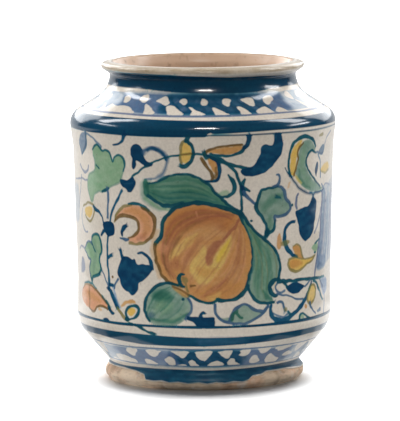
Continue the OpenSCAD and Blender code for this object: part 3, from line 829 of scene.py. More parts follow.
def paint_crescent():
    """Right, above: a great crescent leaf, yellow at its edge and green inside."""
    fill("green", [(64, 146), (70, 146.5), (74, 143.5), (76, 140.5), (72, 140.5), (69, 138.8), (67, 135),
        (67.2, 131.5), (69, 128), (73, 124), (78, 120.8), (84, 117.8), (86, 116.3), (80, 115.5), (72, 116),
        (66, 118.5), (61, 123), (58.5, 127.5), (60, 134), (60.5, 139)], 0.9, 0.8, 0.35)
    stroke("pale_green", [(65, 143), (64, 136), (64.5, 129), (69, 122.5), (76, 118.5)], [2, 3, 3, 3, 1.5],
        0.5, 2, 0.4)
    stroke("leaf", [(61.5, 130), (62, 125), (66, 120.5), (72, 117.8)], [1.2, 2.4, 2.2, 1.2], 0.6, 1.2)
    fill("yellow", [(54.5, 128), (54.3, 136), (56, 143), (60, 146.5), (63.5, 146.3), (60, 142), (59, 137.5),
        (58.3, 132), (57, 127)], 0.92, 0.8, 0.25)
    stroke("flame", [(59, 125.5), (63, 121.5)], [1.8, 1.2], 0.8, 0.9)
    stroke("cobalt", [(50, 131.5), (53.5, 127), (57, 123.3), (61, 119.5), (66, 116.3), (71, 114.5),
        (77, 114.2), (83, 114.8), (88, 115.5)], [0.6, 1.4, 2, 2, 2, 1.9, 1.8, 1.5, 1])
    stroke("teal", [(54.5, 126.5), (53, 131), (53, 136), (53.8, 141), (56, 145.5), (60, 148), (65, 149),
        (70, 148), (74, 145.5), (76.5, 142)], [1.2, 1.4, 1.6, 1.7, 1.8, 1.9, 2.2, 2.2, 1.9, 1.6])
    stroke("teal", [(76.5, 138.5), (72.5, 140), (70, 138.8), (68, 135.5), (68, 132), (70, 128.3),
        (73.5, 125), (78, 121.5), (83, 118.2)], 1.3, 0.88)
    stroke("brown", [(64, 145.5), (60.5, 142.5), (59.5, 138.5), (60.5, 136), (59, 132.5), (58, 129),
        (57.5, 126.5)], 1.2, 0.8)


def paint_far_right():
    """At the right edge of the panel, above: a sprig, a small leaf and the panel's line."""
    fill("slate", [(80.5, 138.8), (83, 141.3), (85, 142.8), (88, 142), (87.5, 138.5), (85.5, 136.2),
        (82, 136.8)], 0.8, 0.8, 0.25)
    stroke("slate", [(77.5, 137.8), (79.5, 138.5), (83, 137), (86, 137.5)], 1.1, 0.8)
    stroke("violet", [(88, 143), (92, 147), (97, 149.5)], 1.2, 0.4)
    fill("cobalt", [(78, 124), (76.5, 127.5), (77.5, 131), (79, 133), (80.3, 131.5), (80, 128),
        (78.5, 125.2)])
    stroke("slate", [(80, 137), (82.5, 133), (83.3, 128), (83.5, 123)], 1.1, 0.7)
    fill("yellow", [(84, 128), (88, 130.5), (95, 131), (97, 128), (92, 125.5), (86, 126)], 0.7, 1.4)
    stroke("olive", [(84, 127), (90, 125), (97, 126.5)], 1.1, 0.5)
    stroke("olive", [(80, 148), (84, 148.8)], 1.6, 0.6)
    stroke("slate", [(85.5, 119), (88, 116)], 1.2, 0.7)
    stroke("violet", [(88, 117), (92, 118.5), (100, 117)], 1.1, 0.45)
    stroke("violet", [(61, 115.5), (59.3, 112.8), (59.3, 109.5), (60.3, 107)], [1, 1.6, 1.7, 1.3])
    stroke("violet", [(86.5, 115), (86.5, 110), (86, 105), (85, 95), (84.8, 88), (82.5, 83), (81.5, 77),
        (80, 72), (79, 67.5), (78.3, 64.5)], 1.6)
    stroke("violet", [(85, 105), (83.5, 100), (80, 94), (77.5, 90.5)], 1.1, 0.6)
    dab("slate", (91.8, 108), 0.9, strength=0.7)


def paint_right():
    """Right of the hanging leaf: a blue leaf, a long curl, an orange flower and a green sprig."""
    fill("cobalt", [(59, 105.5), (62, 106), (65.5, 107), (69.5, 107.2), (71.5, 108.8), (73, 111),
        (75, 112.8), (77.5, 111), (79.2, 108), (78.8, 103), (77.5, 98), (76.5, 94), (74.5, 90.5),
        (71.5, 88), (68, 86.9), (65.5, 88.5), (63, 91), (61.8, 93.5), (61.3, 97), (60.3, 100.5), (59, 103)],
        0.98, SOFT_EDGE, 0.3)
    stroke("cobalt", [(58.3, 99.3), (56, 99.5), (53, 98), (50.8, 95), (50.2, 91), (50.3, 89), (51.5, 85.8),
        (53, 83.5), (55.5, 81), (58, 79.3), (60.5, 78.3)],
        [1.6, 1.8, 2, 2.2, 2.3, 2.3, 2.4, 2.4, 2.2, 1.9, 1.5], 0.82)
    fill("orange", [(46.3, 93.5), (48, 91), (48.5, 87), (47.5, 84.3), (45.5, 84.5), (44.8, 88),
        (45.2, 91.5)], 0.75, 0.9)
    stroke("olive", [(49, 87), (51, 87.3), (53.5, 88.3)], [2, 2.8, 1.8], 0.8, 0.9)
    fill("yellow", [(53.5, 75.5), (54.5, 77.3), (58, 78), (62, 77.5), (66, 76.5), (70, 75.8), (74, 76.2),
        (78, 77.3), (75, 74.8), (71, 73.3), (67, 71.8), (63, 70.3), (59, 69.6), (55.5, 70.5), (53.8, 73)],
        0.9, 0.8, 0.25)
    fill("amber", [(54.5, 75.5), (58, 76.8), (63, 75.8), (66, 74), (61, 71.8), (56, 72)], 0.8, 1.6, 0.2)
    stroke("olive", [(54, 76.8), (53.4, 74), (55.5, 70.9), (59, 69.7), (63, 70.3), (67, 71.8), (71, 73.3),
        (75, 74.8), (78.3, 77.3)], [1.1, 1.4, 1.6, 1.6, 1.4, 1.3, 1.2, 1.1, 0.9], 0.85)
    stroke("olive", [(54.2, 77.2), (58, 78.2), (62, 77.6), (66, 76.7), (70, 76), (74, 76.3), (78, 77.4)],
        1.1, 0.8)
    fill("amber", [(57, 84.5), (60, 85.3), (62.5, 84.5), (63.8, 82), (64.5, 79), (66, 77), (60.5, 78.5),
        (58.3, 81)], 0.9, 0.8, 0.2)
    stroke("olive", [(57.5, 85), (60, 85.6), (62.7, 84.7), (64, 82), (64.8, 79), (66.2, 76.9)], 1.1, 0.8)
    fill("pale_green", [(74.5, 81.8), (77, 84), (80.5, 84.8), (82, 82), (80, 79), (77, 80)], 0.75, 0.9)
    stroke("teal", [(78, 84.4), (80, 85), (83, 86.5)], [0.9, 1.4, 1], 0.75)
    dab("teal", (78.5, 79), 1.2, 0.8, 0.7)


def paint_lower_right():
    """Right, below: a ring, a blue almond, a great blue scroll and a yellow bud."""
    stroke("teal", [(46.5, 66), (43.5, 65.8), (41, 64), (40.2, 61), (41, 58.5), (43.5, 56.8), (45, 57)],
        [2, 2.4, 2.5, 2.4, 2.3, 2, 1.6], 0.95)
    stroke("slate", [(45.5, 64), (44.3, 61.5), (45.5, 59), (48, 58.3), (51, 59.5)], 1.2, 0.8)
    stroke("teal", [(46, 65), (55, 64.7), (65, 64.3), (75, 63.8), (82, 63.3), (92, 63.5)],
        [2, 1.8, 1.8, 1.9, 1.7, 1.3], 0.92, fade=[1, 1, 1, 1, 0.85, 0.6])
    fill("cobalt", [(52, 60.5), (54, 62), (57, 63), (61, 63), (64.5, 61.8), (67.5, 60), (64, 57.8),
        (60, 56.6), (56, 57.2), (53, 59)])
    stroke("teal", [(49, 64.5), (51.5, 62.5), (53, 60.5)], 1.4)
    stroke("slate", [(68, 60), (71, 61.5), (74, 63.5)], 1.2)
    stroke("slate", [(45, 57.5), (50, 56.6), (54, 55.8), (58, 54), (62, 52.7), (66, 52.8)], 1.1, 0.85)
    stroke("cobalt", [(41, 51), (40.5, 48.5), (41.5, 45.5), (44, 43), (48, 41.5), (52, 42), (56, 43.8),
        (60, 46), (65, 49.5), (69, 53), (72, 57), (75, 62)],
        [1.6, 2, 2.2, 2.4, 2.6, 2.4, 2.2, 2.2, 2.4, 2, 1.6, 1.2], 0.82)
    stroke("slate", [(42.5, 46.3), (45, 45), (48, 44), (51, 44.2), (53.5, 45.5)], 1.2, 0.7)
    stroke("slate", [(45.5, 52.3), (47.5, 52.8), (49.5, 51.8), (50.2, 49.5), (51, 47)], 1.4, 0.95)
    dab("olive", (51.5, 48), 1.4, 1.4, 0.6, 1)
    stroke("teal", [(53.5, 46.5), (55, 45)], 1.2, 0.8)
    bud = [(70.5, 52), (71.5, 56), (74, 59.5), (77, 60.2), (79.5, 57.5), (79.3, 53.5), (77, 50.5), (74, 49),
        (71.5, 49.8)]
    fill("yellow", bud, 0.7, 0.9, 0.2)
    stroke("olive", bud + bud[:1], 1.4, 0.85)
    stroke("slate", [(73, 49.5), (74, 47.3), (76, 45), (79.5, 42.5)], [2, 1.6, 1.2, 0.9], 0.95)
    stroke("teal", [(77, 62), (80.5, 61), (83, 58), (86, 53.5), (88.5, 50.3), (90, 49.5)],
        [1.3, 1.6, 1.7, 1.6, 1.4, 1.1], 0.75)
    stroke("violet", [(84.5, 63), (87, 60.5), (90, 57), (92.5, 53.5)], 1.1, 0.6)
    stroke("violet", [(93, 57), (92.8, 50), (91, 42)], 1.3, 0.45)
    dab("amber", (68.8, 48), 1.5, strength=0.75)
    stroke("teal", [(63, 41), (63.5, 43.5), (66, 44.3), (69, 42.8), (72, 41)], 1.3, 0.75)
    dab("pale_green", (65.5, 42.3), 1.8, 1.1, 0.7, 0.9)
    stroke("slate", [(82, 43.8), (86, 44)], [1.4, 2.2], 0.8)


def paint_lower_left():
    """Left, below: a green trefoil, a blue vine leaf, a long orange leaf and a small yellow bud."""
    trefoil = [(-79.5, 87), (-78.5, 89.5), (-75.5, 91), (-72, 90.8), (-70, 88.5), (-69, 84), (-69.3, 80.5),
        (-71, 78.5), (-71.5, 75.5), (-70.5, 72), (-69.8, 70.5), (-72, 68), (-75.5, 66.3), (-79, 65.3),
        (-80.8, 62.5), (-82.3, 65), (-83.3, 69), (-82.5, 72.5), (-81.5, 75), (-84.5, 75.8), (-87, 78),
        (-90, 80.3), (-88, 83), (-85.5, 85.3), (-82.5, 86), (-79.5, 84.5)]
    fill("pale_green", trefoil, 0.9, 0.8, 0.35)
    stroke("green", [(-77, 87), (-75.5, 81), (-77, 74), (-79, 68)], [2, 3, 3, 1.5], 0.5, 2, 0.4)
    stroke("teal", trefoil[:12], [1, 1.3, 1.4, 1.4, 1.4, 1.4, 1.3, 1.3, 1.3, 1.4, 1.6, 1.6], 0.68)
    stroke("teal", trefoil[11:16], [1.6, 1.6, 1.5, 1.6, 1], 0.68)
    stroke("slate", trefoil[15:], 1.2, 0.7)
    stroke("teal", [(-79.5, 86), (-78, 82.5), (-76, 80.5)], 1.2, 0.6)
    stroke("violet", [(-100, 79.8), (-96, 81.5), (-91, 81.3)], 1.2, 0.5)
    stroke("cobalt", [(-62.5, 92), (-63.3, 86), (-63.8, 80), (-63.8, 75), (-63.2, 70), (-63, 64),
        (-63, 60)], [1.6, 1.3, 1.3, 1.3, 1.4, 1.6, 1.8], 0.72)
    stroke("cobalt", [(-62.8, 78.5), (-60, 80.3)], [1.6, 2.4], 0.75)
    dab("brown", (-59.7, 67.2), 0.9)
    stroke("slate", [(-69.5, 70), (-67, 66.8), (-65, 63.5), (-63.5, 61)], 1.1, 0.8)
    stroke("cobalt", [(-64, 60), (-61, 58), (-58.5, 54), (-56, 49.5)], [1.8, 2.6, 2.6, 2.2], 0.85)
    stroke("wash", [(-60, 62), (-58, 58), (-56, 53), (-54, 49.5)], 1.5, 0.7)
    stroke("olive", [(-56, 49), (-53, 46.5), (-50.5, 44), (-48, 42.8)], 1.8)
    dab("teal", (-48.3, 43.2), 1.8, 1.3)
    stroke("cobalt", [(-62.5, 62.3), (-59.5, 62)], 2, 0.8)
    stroke("slate", [(-55, 66), (-57.5, 63.5), (-58.5, 60.5)], 1.2)
    fill("cobalt", [(-50.5, 80), (-48, 80.3), (-46, 79.5), (-44.5, 78.8), (-43, 79.3), (-41.8, 78.5),
        (-41.3, 76.8), (-40, 76), (-37.5, 76.5), (-35, 76), (-32.5, 75.8), (-31, 75), (-31.8, 72),
        (-33, 70), (-35.5, 68), (-38, 66), (-40, 65), (-40.5, 63), (-40.8, 60.5), (-42.5, 58.5),
        (-45, 57.6), (-46.5, 58.3), (-47.5, 59.3), (-50, 60.2), (-52.5, 62), (-53.5, 64.5), (-53.8, 67),
        (-55.3, 69), (-55.5, 71), (-54.5, 74), (-53, 77), (-51.5, 79)], 0.98, SOFT_EDGE, 0.3)
    stroke("cobalt", [(-53.2, 84), (-52, 81), (-51, 78.5)], [1.8, 2.2, 2.2], 0.8)
    stroke("cobalt", [(-40.5, 82.5), (-37.5, 83), (-34.5, 81.5), (-32.5, 79), (-31.5, 76), (-31, 74)],
        [1.2, 1.5, 1.6, 1.8, 2, 2])
    fill("yellow", [(-48, 47.8), (-46.3, 50), (-43.5, 49.8), (-42.3, 47.8), (-44.3, 45.6), (-46.8, 45)],
        0.92, 0.8)
    stroke("teal", [(-48, 43.5), (-49.2, 46.5), (-48, 49.5), (-45, 51.2), (-42, 51.2), (-40.3, 49.5),
        (-40.8, 47), (-43, 44.5), (-46, 43.3)], [1.4, 1.5, 1.5, 1.6, 1.8, 1.9, 1.7, 1.4, 1.2])
    stroke("amber", [(-52.5, 50.5), (-49.5, 52.5), (-46, 53.8), (-43, 53.5)], [1.2, 2, 2.1, 1.3], 0.75, 0.9)
    stroke("teal", [(-47, 41), (-43, 39.8), (-39, 38.5), (-30, 35.3)], 1.4)
    upper = [(-95, 56.5), (-91, 59), (-85, 60), (-79, 58.8), (-73, 56.2), (-67.5, 52.8), (-63, 49.5)]
    lower = [(-58.5, 45.8), (-64, 47.5), (-67.5, 48.7), (-71, 49), (-74.5, 47.8), (-77, 45.5), (-80, 44.8),
        (-84, 46), (-92, 48), (-97, 52)]
    fill("peach", upper + lower, 0.92, 0.9, 0.25)
    stroke("amber", [(-93, 53), (-86, 54.5), (-78, 53), (-71, 51.5)], [2, 4, 3.5, 1.5], 0.5, 2, 0.3)
    stroke("brown", [(-84.3, 58.5), (-84, 52), (-84.3, 47)], 1.6, 0.4, 1.2)
    stroke("brown", upper, [0.9, 1.1, 1.2, 1.3, 1.5, 1.6, 1.6], 0.75, fade=[0.5, 0.6, 0.7, 0.9, 1, 1, 1])
    stroke("brown", lower[1:8], [1.3, 1.3, 1.3, 1.3, 1.3, 1.2, 1], 0.8)
    stroke("cobalt", [(-63, 48.5), (-60, 45.8), (-58.8, 45.5)], [1.8, 2.2, 1.2])
    stroke("teal", [(-92, 60), (-86, 61.4), (-80, 60.6), (-76, 58.8)], [0.8, 1.4, 1.3, 0.8], 0.5)
    stroke("teal", [(-70, 55.3), (-66.5, 53), (-62, 49.2)], [0.8, 1.6, 1.3], 0.6)
    dab("orange", (-71.5, 46.7), 2.2, 0.9, 0.5, 0.9)
    fill("cobalt", [(-68, 41), (-66.5, 42), (-64.5, 42.3), (-62.5, 41), (-65, 40.4)], 0.9)


PANEL_PAINTERS = [paint_washes, paint_upper_left, paint_orange_scroll, paint_upper_middle, paint_fruit_leaf,
    paint_fruit, paint_right_leaf, paint_ball, paint_centre_top, paint_right_trefoil, paint_crescent,
    paint_far_right, paint_right, paint_lower_right, paint_lower_left]


# Lower edge of the white glaze, where it stops short on the foot
GLAZE_EDGE = [(-230, 7.6), (-205, 6.0), (-180, 8.2), (-150, 6.6), (-120, 8.8), (-95, 9.2), (-75, 9.6),
    (-60, 9.0), (-50, 7.6), (-47, 4.8), (-40, 4.4), (-33, 5.0), (-27, 4.0), (-20, 4.6), (-13, 3.9),
    (-5, 4.6), (2, 3.8), (9, 4.7), (15, 4.0), (22, 4.8), (29, 4.2), (34, 5.4), (38, 7.2), (46, 7.6),
    (52, 8.8), (75, 8.7), (100, 7.0), (130, 6.2), (165, 8.4), (195, 6.6), (220, 7.2)]
# The lower edge's ripple, and the length over which it changes
RIPPLE = 0.5
RIPPLE_LENGTH = 5.3
RIPPLE_SEED = 71
# Lines drawn round the jar: points in a turn, and the lengths over which they drift and swell
LINE_POINTS = 60
DRIFT_LENGTH = 26.0
SWELL_LENGTH = 17.0
# Friezes: the slant of a field's ends, the distance between windows and how much wider they are left
FIELD_END = 8
FRIEZE_PITCH = 15.6
WINDOW_SPREAD = 1.12
# Windows of bare glaze that the brush leaves in the two friezes, in front
UPPER_WINDOWS = [
    [(-66, 171.2), (-63.5, 172.2), (-60.5, 171.8), (-59, 170.3), (-60, 169), (-63, 169.3)],
    [(-50, 171.5), (-48, 173.3), (-44, 173.4), (-42.8, 171.5), (-44, 169.6), (-47, 170)],
    [(-34.5, 170.5), (-31, 172.5), (-28.5, 173), (-26.5, 171.5), (-25, 169.8), (-27, 168.6),
     (-30.5, 169.6)],
    [(-16.8, 170.5), (-15.5, 171.8), (-13, 172), (-11.8, 170.5), (-12.5, 169.2), (-14.8, 169.2)],
    [(-1.5, 169.8), (-0.5, 171.8), (1.5, 171.6), (3, 170.5), (2.2, 169), (0, 168.8)],
    [(14, 169.5), (15, 171.6), (18, 171.9), (20.5, 171.2), (19.5, 169.8), (17.5, 168.2), (15.5, 168.6)],
    [(29, 171.2), (33, 171.8), (37.5, 171.6), (38, 169.8), (36, 168), (33.5, 168.2), (31, 169.6)],
    [(46.5, 169.5), (49, 171.8), (55, 172), (56, 170.5), (52, 169.2), (48, 168.2)],
    [(-72, 167.2), (-66, 166.8), (-57, 167), (-51, 165.6), (-48, 164), (-60, 163.6), (-72, 163.6)],
    [(-41.8, 168.4), (-38, 167.5), (-34.5, 166), (-32.2, 164.4), (-35, 163.6), (-38.5, 163.8),
     (-39.5, 165.4)],
    [(-25, 167.8), (-20.5, 168), (-17.5, 166.4), (-13, 164.4), (-16, 163.6), (-22, 163.8), (-23.5, 165.6)],
    [(-9.5, 167.3), (-7, 167.2), (-4, 165.8), (0.5, 164.2), (-3, 163.6), (-8, 163.8), (-7, 165.8)],
    [(6.5, 167), (8, 167.2), (11, 166), (14, 164.8), (16, 163.8), (11, 163.6), (8, 163.8), (7.2, 165.2)],
    [(23.6, 167), (25.5, 167.5), (27.5, 166.6), (29.5, 165.2), (30.6, 164), (27, 163.7), (24.4, 164),
     (24.5, 165.4)],
    [(36, 165.3), (41, 166.6), (44, 166.6), (46, 165), (46.5, 163.7), (40, 163.5), (36.5, 163.8)],
    [(50, 164.5), (54, 166.2), (57, 165.2), (58.5, 163.8), (53, 163.6)],
]
LOWER_WINDOWS = [
    [(-57, 22.5), (-54, 24.4), (-47.5, 24.5), (-49.5, 22), (-52, 20.2), (-55, 20.4)],
    [(-39, 24.5), (-29.5, 24.5), (-31, 23), (-33.5, 21), (-36, 20.4), (-38.5, 21.6)],
    [(-21, 24.6), (-11, 24.5), (-12, 22.6), (-13.5, 21), (-15.5, 20.6), (-17.5, 21.6), (-19, 23)],
    [(-5, 24.5), (4, 24.6), (3.5, 22.5), (2, 20.4), (0, 18.9), (-2.5, 19.4), (-4.5, 20.8), (-5.2, 22.6)],
    [(9.5, 24.5), (17, 24.8), (17.2, 22), (16.3, 20.2), (14.5, 20.2), (12, 21.6), (10.5, 23)],
    [(24, 24.8), (30, 25), (30, 22.6), (28.5, 21.2), (26, 21), (23.5, 21.9), (24.6, 23)],
    [(36.5, 25), (44.5, 25.2), (44, 23), (42.5, 22.1), (40, 22), (38, 23.4)],
    [(50.5, 25), (60, 25.2), (63, 24.2), (58, 23), (54, 22.4), (52, 23.2)],
    [(-72, 18.5), (-66, 19.3), (-60, 18.4), (-55, 16.8), (-56, 14.8), (-66, 14.8), (-72, 15.6)],
    [(-44.5, 17), (-42.5, 18.2), (-39, 17.4), (-36, 15.6), (-38, 14.8), (-44, 14.9)],
    [(-28, 18.4), (-26, 20), (-24, 20.6), (-22, 19.4), (-21.5, 17), (-23, 15), (-26, 14.8), (-27, 16.4)],
    [(-21, 14.9), (-17, 16), (-13.5, 15.5), (-15, 14.7)],
    [(-11, 17.6), (-9, 18.6), (-7.2, 18), (-6, 16.6), (-4.4, 15.3), (-7, 14.7), (-9.5, 14.8),
     (-10.6, 16.2)],
    [(3, 15.8), (6, 17.4), (9, 18), (11.5, 17.2), (13.5, 15.8), (12, 14.7), (6, 14.5), (3.4, 14.8)],
    [(16.8, 16.4), (17.2, 18), (18.6, 19.4), (21, 19), (22, 17.4), (24.5, 16.2), (26, 15.6), (20, 15)],
    [(33, 18.6), (34, 20.6), (36.5, 20.8), (39, 18.8), (41, 17), (38, 15.8), (34, 16.4)],
    [(46, 19), (47.5, 21), (50, 20.2), (54, 18.4), (58, 17), (56, 14.8), (50, 14.6), (47, 16.2)],
    [(61, 19.4), (64, 20.8), (68, 20.4), (70, 18.8), (64, 18.2)],
]
# Each list starts with this many windows of its frieze's upper row
UPPER_ROW = 8


def paint_line(pigment, height, width, waver, strength, seed):
    """A line drawn round the jar while it turns, with a small waver of the hand."""
    s = np.linspace(-HALF_ROUND, HALF_ROUND, LINE_POINTS + 1)[:-1]
    drift = (mottle(s + HALF_ROUND, s * 0, DRIFT_LENGTH, DRIFT_LENGTH, seed) - 0.5) * waver
    swell = 1 + 0.5 * (mottle(s + HALF_ROUND, s * 0, SWELL_LENGTH, SWELL_LENGTH, seed + 1) - 0.5)
    edges = [[(a, height + d + side * width * w / 2) for a, d, w in zip(s, drift, swell)]
             for side in (-1, 1)]
    band(pigment, *edges, strength, 0.5, 0.3, (22.0, 1.2))


def spread(first, last, pitch):
    """Evenly spaced places between two, going round behind the jar."""
    way = last + 2 * HALF_ROUND - first
    count = round(way / pitch)
    places = [first + way * k / count for k in range(1, count)]
    return [p - 2 * HALF_ROUND if p > HALF_ROUND else p for p in places]


def paint_frieze(low, high, deep, windows):
    """A field of watery blue brushed round the jar, deeper in front, with windows of bare glaze in it."""
    middle = (low + high) / 2
    band("frieze", [(0, low)], [(-80, high), (0, high), (40, high - 0.3), (90, high)], 0.55, 0.8, 0.7,
        (5.0, 2.2))
    for pigment, (left, right), strength in (("frieze", (-66, 64), 0.7), ("band", deep, 0.85)):
        fill(pigment, [(left, middle), (left + FIELD_END, high), (right - FIELD_END, high), (right, middle),
            (right - FIELD_END, low), (left + FIELD_END, low)], strength, 4.0, 0.4, (4.0, 2.0))
    dice = np.random.default_rng(17)
    for s in np.arange(-68, 64, 7.8):
        start = s + dice.uniform(0, 3)
        stroke("violet", [(start, middle + 2), (start + 4, middle + 0.4), (start + 8, middle - 2.6)], 3.2,
            dice.uniform(0.2, 0.85), 1.6, 0.6)
    shapes = [np.array(window, float) for window in windows]
    for k, s in enumerate(spread(60, -70, FRIEZE_PITCH)):
        for first, step in ((1, 0.0), (UPPER_ROW + 1, FRIEZE_PITCH / 2)):
            window = shapes[first + k % (UPPER_ROW - 2)]
            shapes.append(window + (s + step - window[:, 0].mean(), 0.0))
    for points in shapes:
        fill(None, points.mean(0) + WINDOW_SPREAD * (points - points.mean(0)), 1.0, 0.7, 0.0)


def paint_shoulder():
    """The shoulder: a broad blue band over its edge, and a frieze of blue waves round the neck."""
    band("band", [(-225, 153.4), (-150, 153.0), (-100, 151.6), (-50, 151.5), (0, 151.6), (1.5, 151.8),
        (3.5, 154.4), (5.5, 153.4), (40, 154.3), (80, 154.3), (150, 153.6)], [(-225, 161), (-100, 161.3),
        (-40, 161.3), (0, 160.8), (40, 160.4), (80, 160.6), (150, 161)], 0.97)
    paint_line("band", 152.4, 1.2, 0.4, 0.85, 11)
    paint_frieze(164.2, 174.1, (-30, 46), UPPER_WINDOWS)
    paint_line("violet", 163.2, 0.9, 0.4, 0.9, 31)


def paint_neck():
    """The neck: one broad blue band, from the shoulder up under the lip."""
    band("band", [(-225, 175.6), (-150, 176), (-90, 176.6), (-60, 176.8), (-45, 176.6), (-30, 175.8),
        (-10, 175.2), (5, 175), (30, 174.8), (45, 175), (55, 176), (75, 176.6), (150, 176)], [(-225, 185),
        (-150, 185.4), (-75, 185.6), (-50, 186), (-25, 185.8), (0, 185), (20, 184.2), (45, 184.2),
        (75, 183.4), (150, 184.4)], 0.98, 0.8, 0.1)


def paint_taper():
    """The taper: a blue band round the bottom of the wall, and a frieze below it."""
    band("band", [(-220, 30), (-150, 30.4), (-75, 31), (-60, 29.8), (-40, 28.3), (0, 28.2), (30, 29.3),
        (60, 30.3), (75, 31), (150, 29.4)], [(-220, 34.6), (-75, 35.1), (-40, 35), (-20, 34.4), (0, 33.8),
        (20, 33.8), (60, 34.7), (150, 34.6)], 0.95, 0.6, 0.25)
    fill("violet", [(-4, 33), (4, 33.4), (20, 33.2), (27, 31.5), (20, 29.4), (4, 29), (-3, 30)], 0.5, 3.0,
        0.4)
    paint_line("band", 40.2, 1.7, 0.3, 0.95, 41)
    paint_frieze(15.1, 24.9, (-20, 30), LOWER_WINDOWS)
    paint_line("slate", 25.9, 0.9, 0.4, 0.85, 51)
    paint_line("slate", 14.6, 0.9, 0.5, 0.8, 61)


def paint_foot():
    """The foot: a blue band in the crease, which runs down to the edge of the glaze in places."""
    band("band", [(s, z + 0.5) for s, z in GLAZE_EDGE],
         [(-220, 11.8), (-75, 11.4), (-48, 12), (-20, 12.3), (0, 11.8), (20, 12.1), (45, 12.6), (70, 12.8),
          (150, 11.8)], 0.96, 0.7, 0.3, (5.0, 1.6))


def paint_lip():
    """The lip: its edge is worn, and the buff of the clay shows through the white."""
    band("buff", [(0, 186.4)], [(0, 189.8)], 0.85, 0.8, 0.7, (9.0, 1.5))
    dice = np.random.default_rng(23)
    for s in np.arange(-HALF_ROUND + 6, HALF_ROUND - 6, 9.0):
        dab("brown", (s + dice.uniform(-4, 4), dice.uniform(187.2, 188.8)), dice.uniform(1.5, 5.0), 0.4,
            dice.uniform(0.05, 0.25), 1.2)


def paint_jar():
    """All the painting, band by band and then the panel."""
    paint_shoulder()
    paint_neck()
    paint_taper()
    paint_foot()
    paint_lip()
    for painter in PANEL_PAINTERS:
        painter()


# The sheet of glaze, flat and then wound round the jar: its step up the seam, and the painted panel on it
SEAM_STEP = 3.0
PANEL_HALF = 108.0
PANEL_LOW = 36.0
PANEL_HIGH = 153.0
# Distances between background points, in the panel and elsewhere
PANEL_GRID = 1.35
PLAIN_GRID = 3.2
# Cells with one point at most, on marks and on the plain glaze, and how clear plain points stay of marks
CELL = 0.24
PLAIN_CELL = 0.5
CLEAR_OF_MARKS = 0.6
CLEAR_OF_BANDS = 1.0
CELL_KEY = 1000003
# How clear points stay of the sheet's edge: on marks, on the plain glaze and on the face on the clay
MARK_MARGIN = 0.3
PLAIN_MARGIN = 0.6
BED_MARGIN = 0.8
# Rows of points lie this far apart at least, and the profile turns by this much at most between them
LEAST_ROW = 0.35
MOST_TURN = math.radians(11)
ROW_SEARCH = 0.05


def glaze_edge_at(s):
    """Height of the glaze's ragged lower edge."""
    edge = np.array(GLAZE_EDGE)
    height = np.interp(s, edge[:, 0], edge[:, 1], period=2 * HALF_ROUND)
    round_s = np.mod(s + HALF_ROUND, 2 * HALF_ROUND)
    return height + RIPPLE * (mottle(round_s, s * 0, RIPPLE_LENGTH, RIPPLE_LENGTH, RIPPLE_SEED) - 0.5)


def row_places():
    """Places along the clay for rows of points, closer where the profile turns."""
    places = [0.0]
    tried = np.arange(0, clay_along[-1], ROW_SEARCH)
    line = np.interp(tried, clay_along, np.arange(len(clay_line))).astype(int)
    turn = np.zeros(len(clay_line))
    ways = np.diff(clay_line, axis=0)
    angles = np.unwrap(np.arctan2(ways[:, 1], ways[:, 0]))
    spans = np.maximum((clay_along[2:] - clay_along[:-2]) / 2, ROW_SEARCH)
    turn[1:-1] = np.abs(np.diff(angles)) / spans
    most = np.array([turn[max(0, k - 2):k + 3].max() for k in range(len(turn))])
    for along, at in zip(tried, line):
        sharp = max(most[at], most[min(at + 1, len(most) - 1)], 1e-3)
        if along - places[-1] >= max(min(PLAIN_GRID, MOST_TURN / sharp), LEAST_ROW):
            places.append(along)
    return np.array(places[1:])


def rows_of_points(around, step, rows):
    """Points in rows along the sheet, with every other row half a step to the side."""
    return np.concatenate([np.stack([around + (step / 2 if k % 2 else 0.0), np.full(len(around), along)], 1)
                           for k, along in enumerate(rows)])


def even_points(rows):
    """Background points all round the jar."""
    around = np.linspace(-HALF_ROUND, HALF_ROUND, TURNS_OF_MESH + 1)[:-1]
    return rows_of_points(around, 2 * HALF_ROUND / TURNS_OF_MESH, rows)


def panel_points():
    """Closer background points under the painted panel."""
    rows = np.arange(along_of(PANEL_LOW), along_of(PANEL_HIGH), PANEL_GRID)
    return rows_of_points(np.arange(-PANEL_HALF, PANEL_HALF, PANEL_GRID), PANEL_GRID, rows)


def cell_keys(points, cell, across=0, up=0):
    """A number for the cell of a square grid that each point lies in, or for one beside it."""
    cells = np.floor(points / cell).astype(np.int64) + (across, up)
    return cells[:, 0] * CELL_KEY + cells[:, 1]


def one_per_cell(points, cell):
    """The first of the points in each cell of a square grid."""
    first = np.unique(cell_keys(points, cell), return_index=True)[1]
    return points[np.sort(first)]


def clear_of(points, others, cell):
    """The points with none of the others in their cell of a square grid, or in the cells beside it."""
    taken = np.unique(cell_keys(others, cell))
    near = [np.isin(cell_keys(points, cell, across, up), taken)
            for across in (-1, 0, 1) for up in (-1, 0, 1)]
    return points[~np.any(near, axis=0)]


def off_band_edges(points):
    """The points that no band's edge passes close to, so that its edge stays even."""
    gaps = [np.abs(points[:, 1] - edge_at(mark[side], points[:, 0]))
            for mark in marks if mark["kind"] == "band" for side in ("low", "high")]
    return points[np.min(gaps, axis=0) > CLEAR_OF_BANDS]


def border(top):
    """The sheet's edge: along the ragged foot, up the back's seam, along the lip and down again."""
    s = np.linspace(-HALF_ROUND, HALF_ROUND, 2 * TURNS_OF_MESH + 1)
    low = along_of(glaze_edge_at(s))
    rise = np.linspace(low[0], top, math.ceil((top - low[0]) / SEAM_STEP) + 1)
    foot = np.stack([s, low], 1)
    right = np.stack([np.full(len(rise) - 2, HALF_ROUND), rise[1:-1]], 1)
    lip = np.stack([s[::-1], np.full(len(s), top)], 1)
    left = np.stack([np.full(len(rise) - 2, -HALF_ROUND), rise[-2:0:-1]], 1)
    return np.concatenate([foot, right, lip, left]), len(s), len(rise)


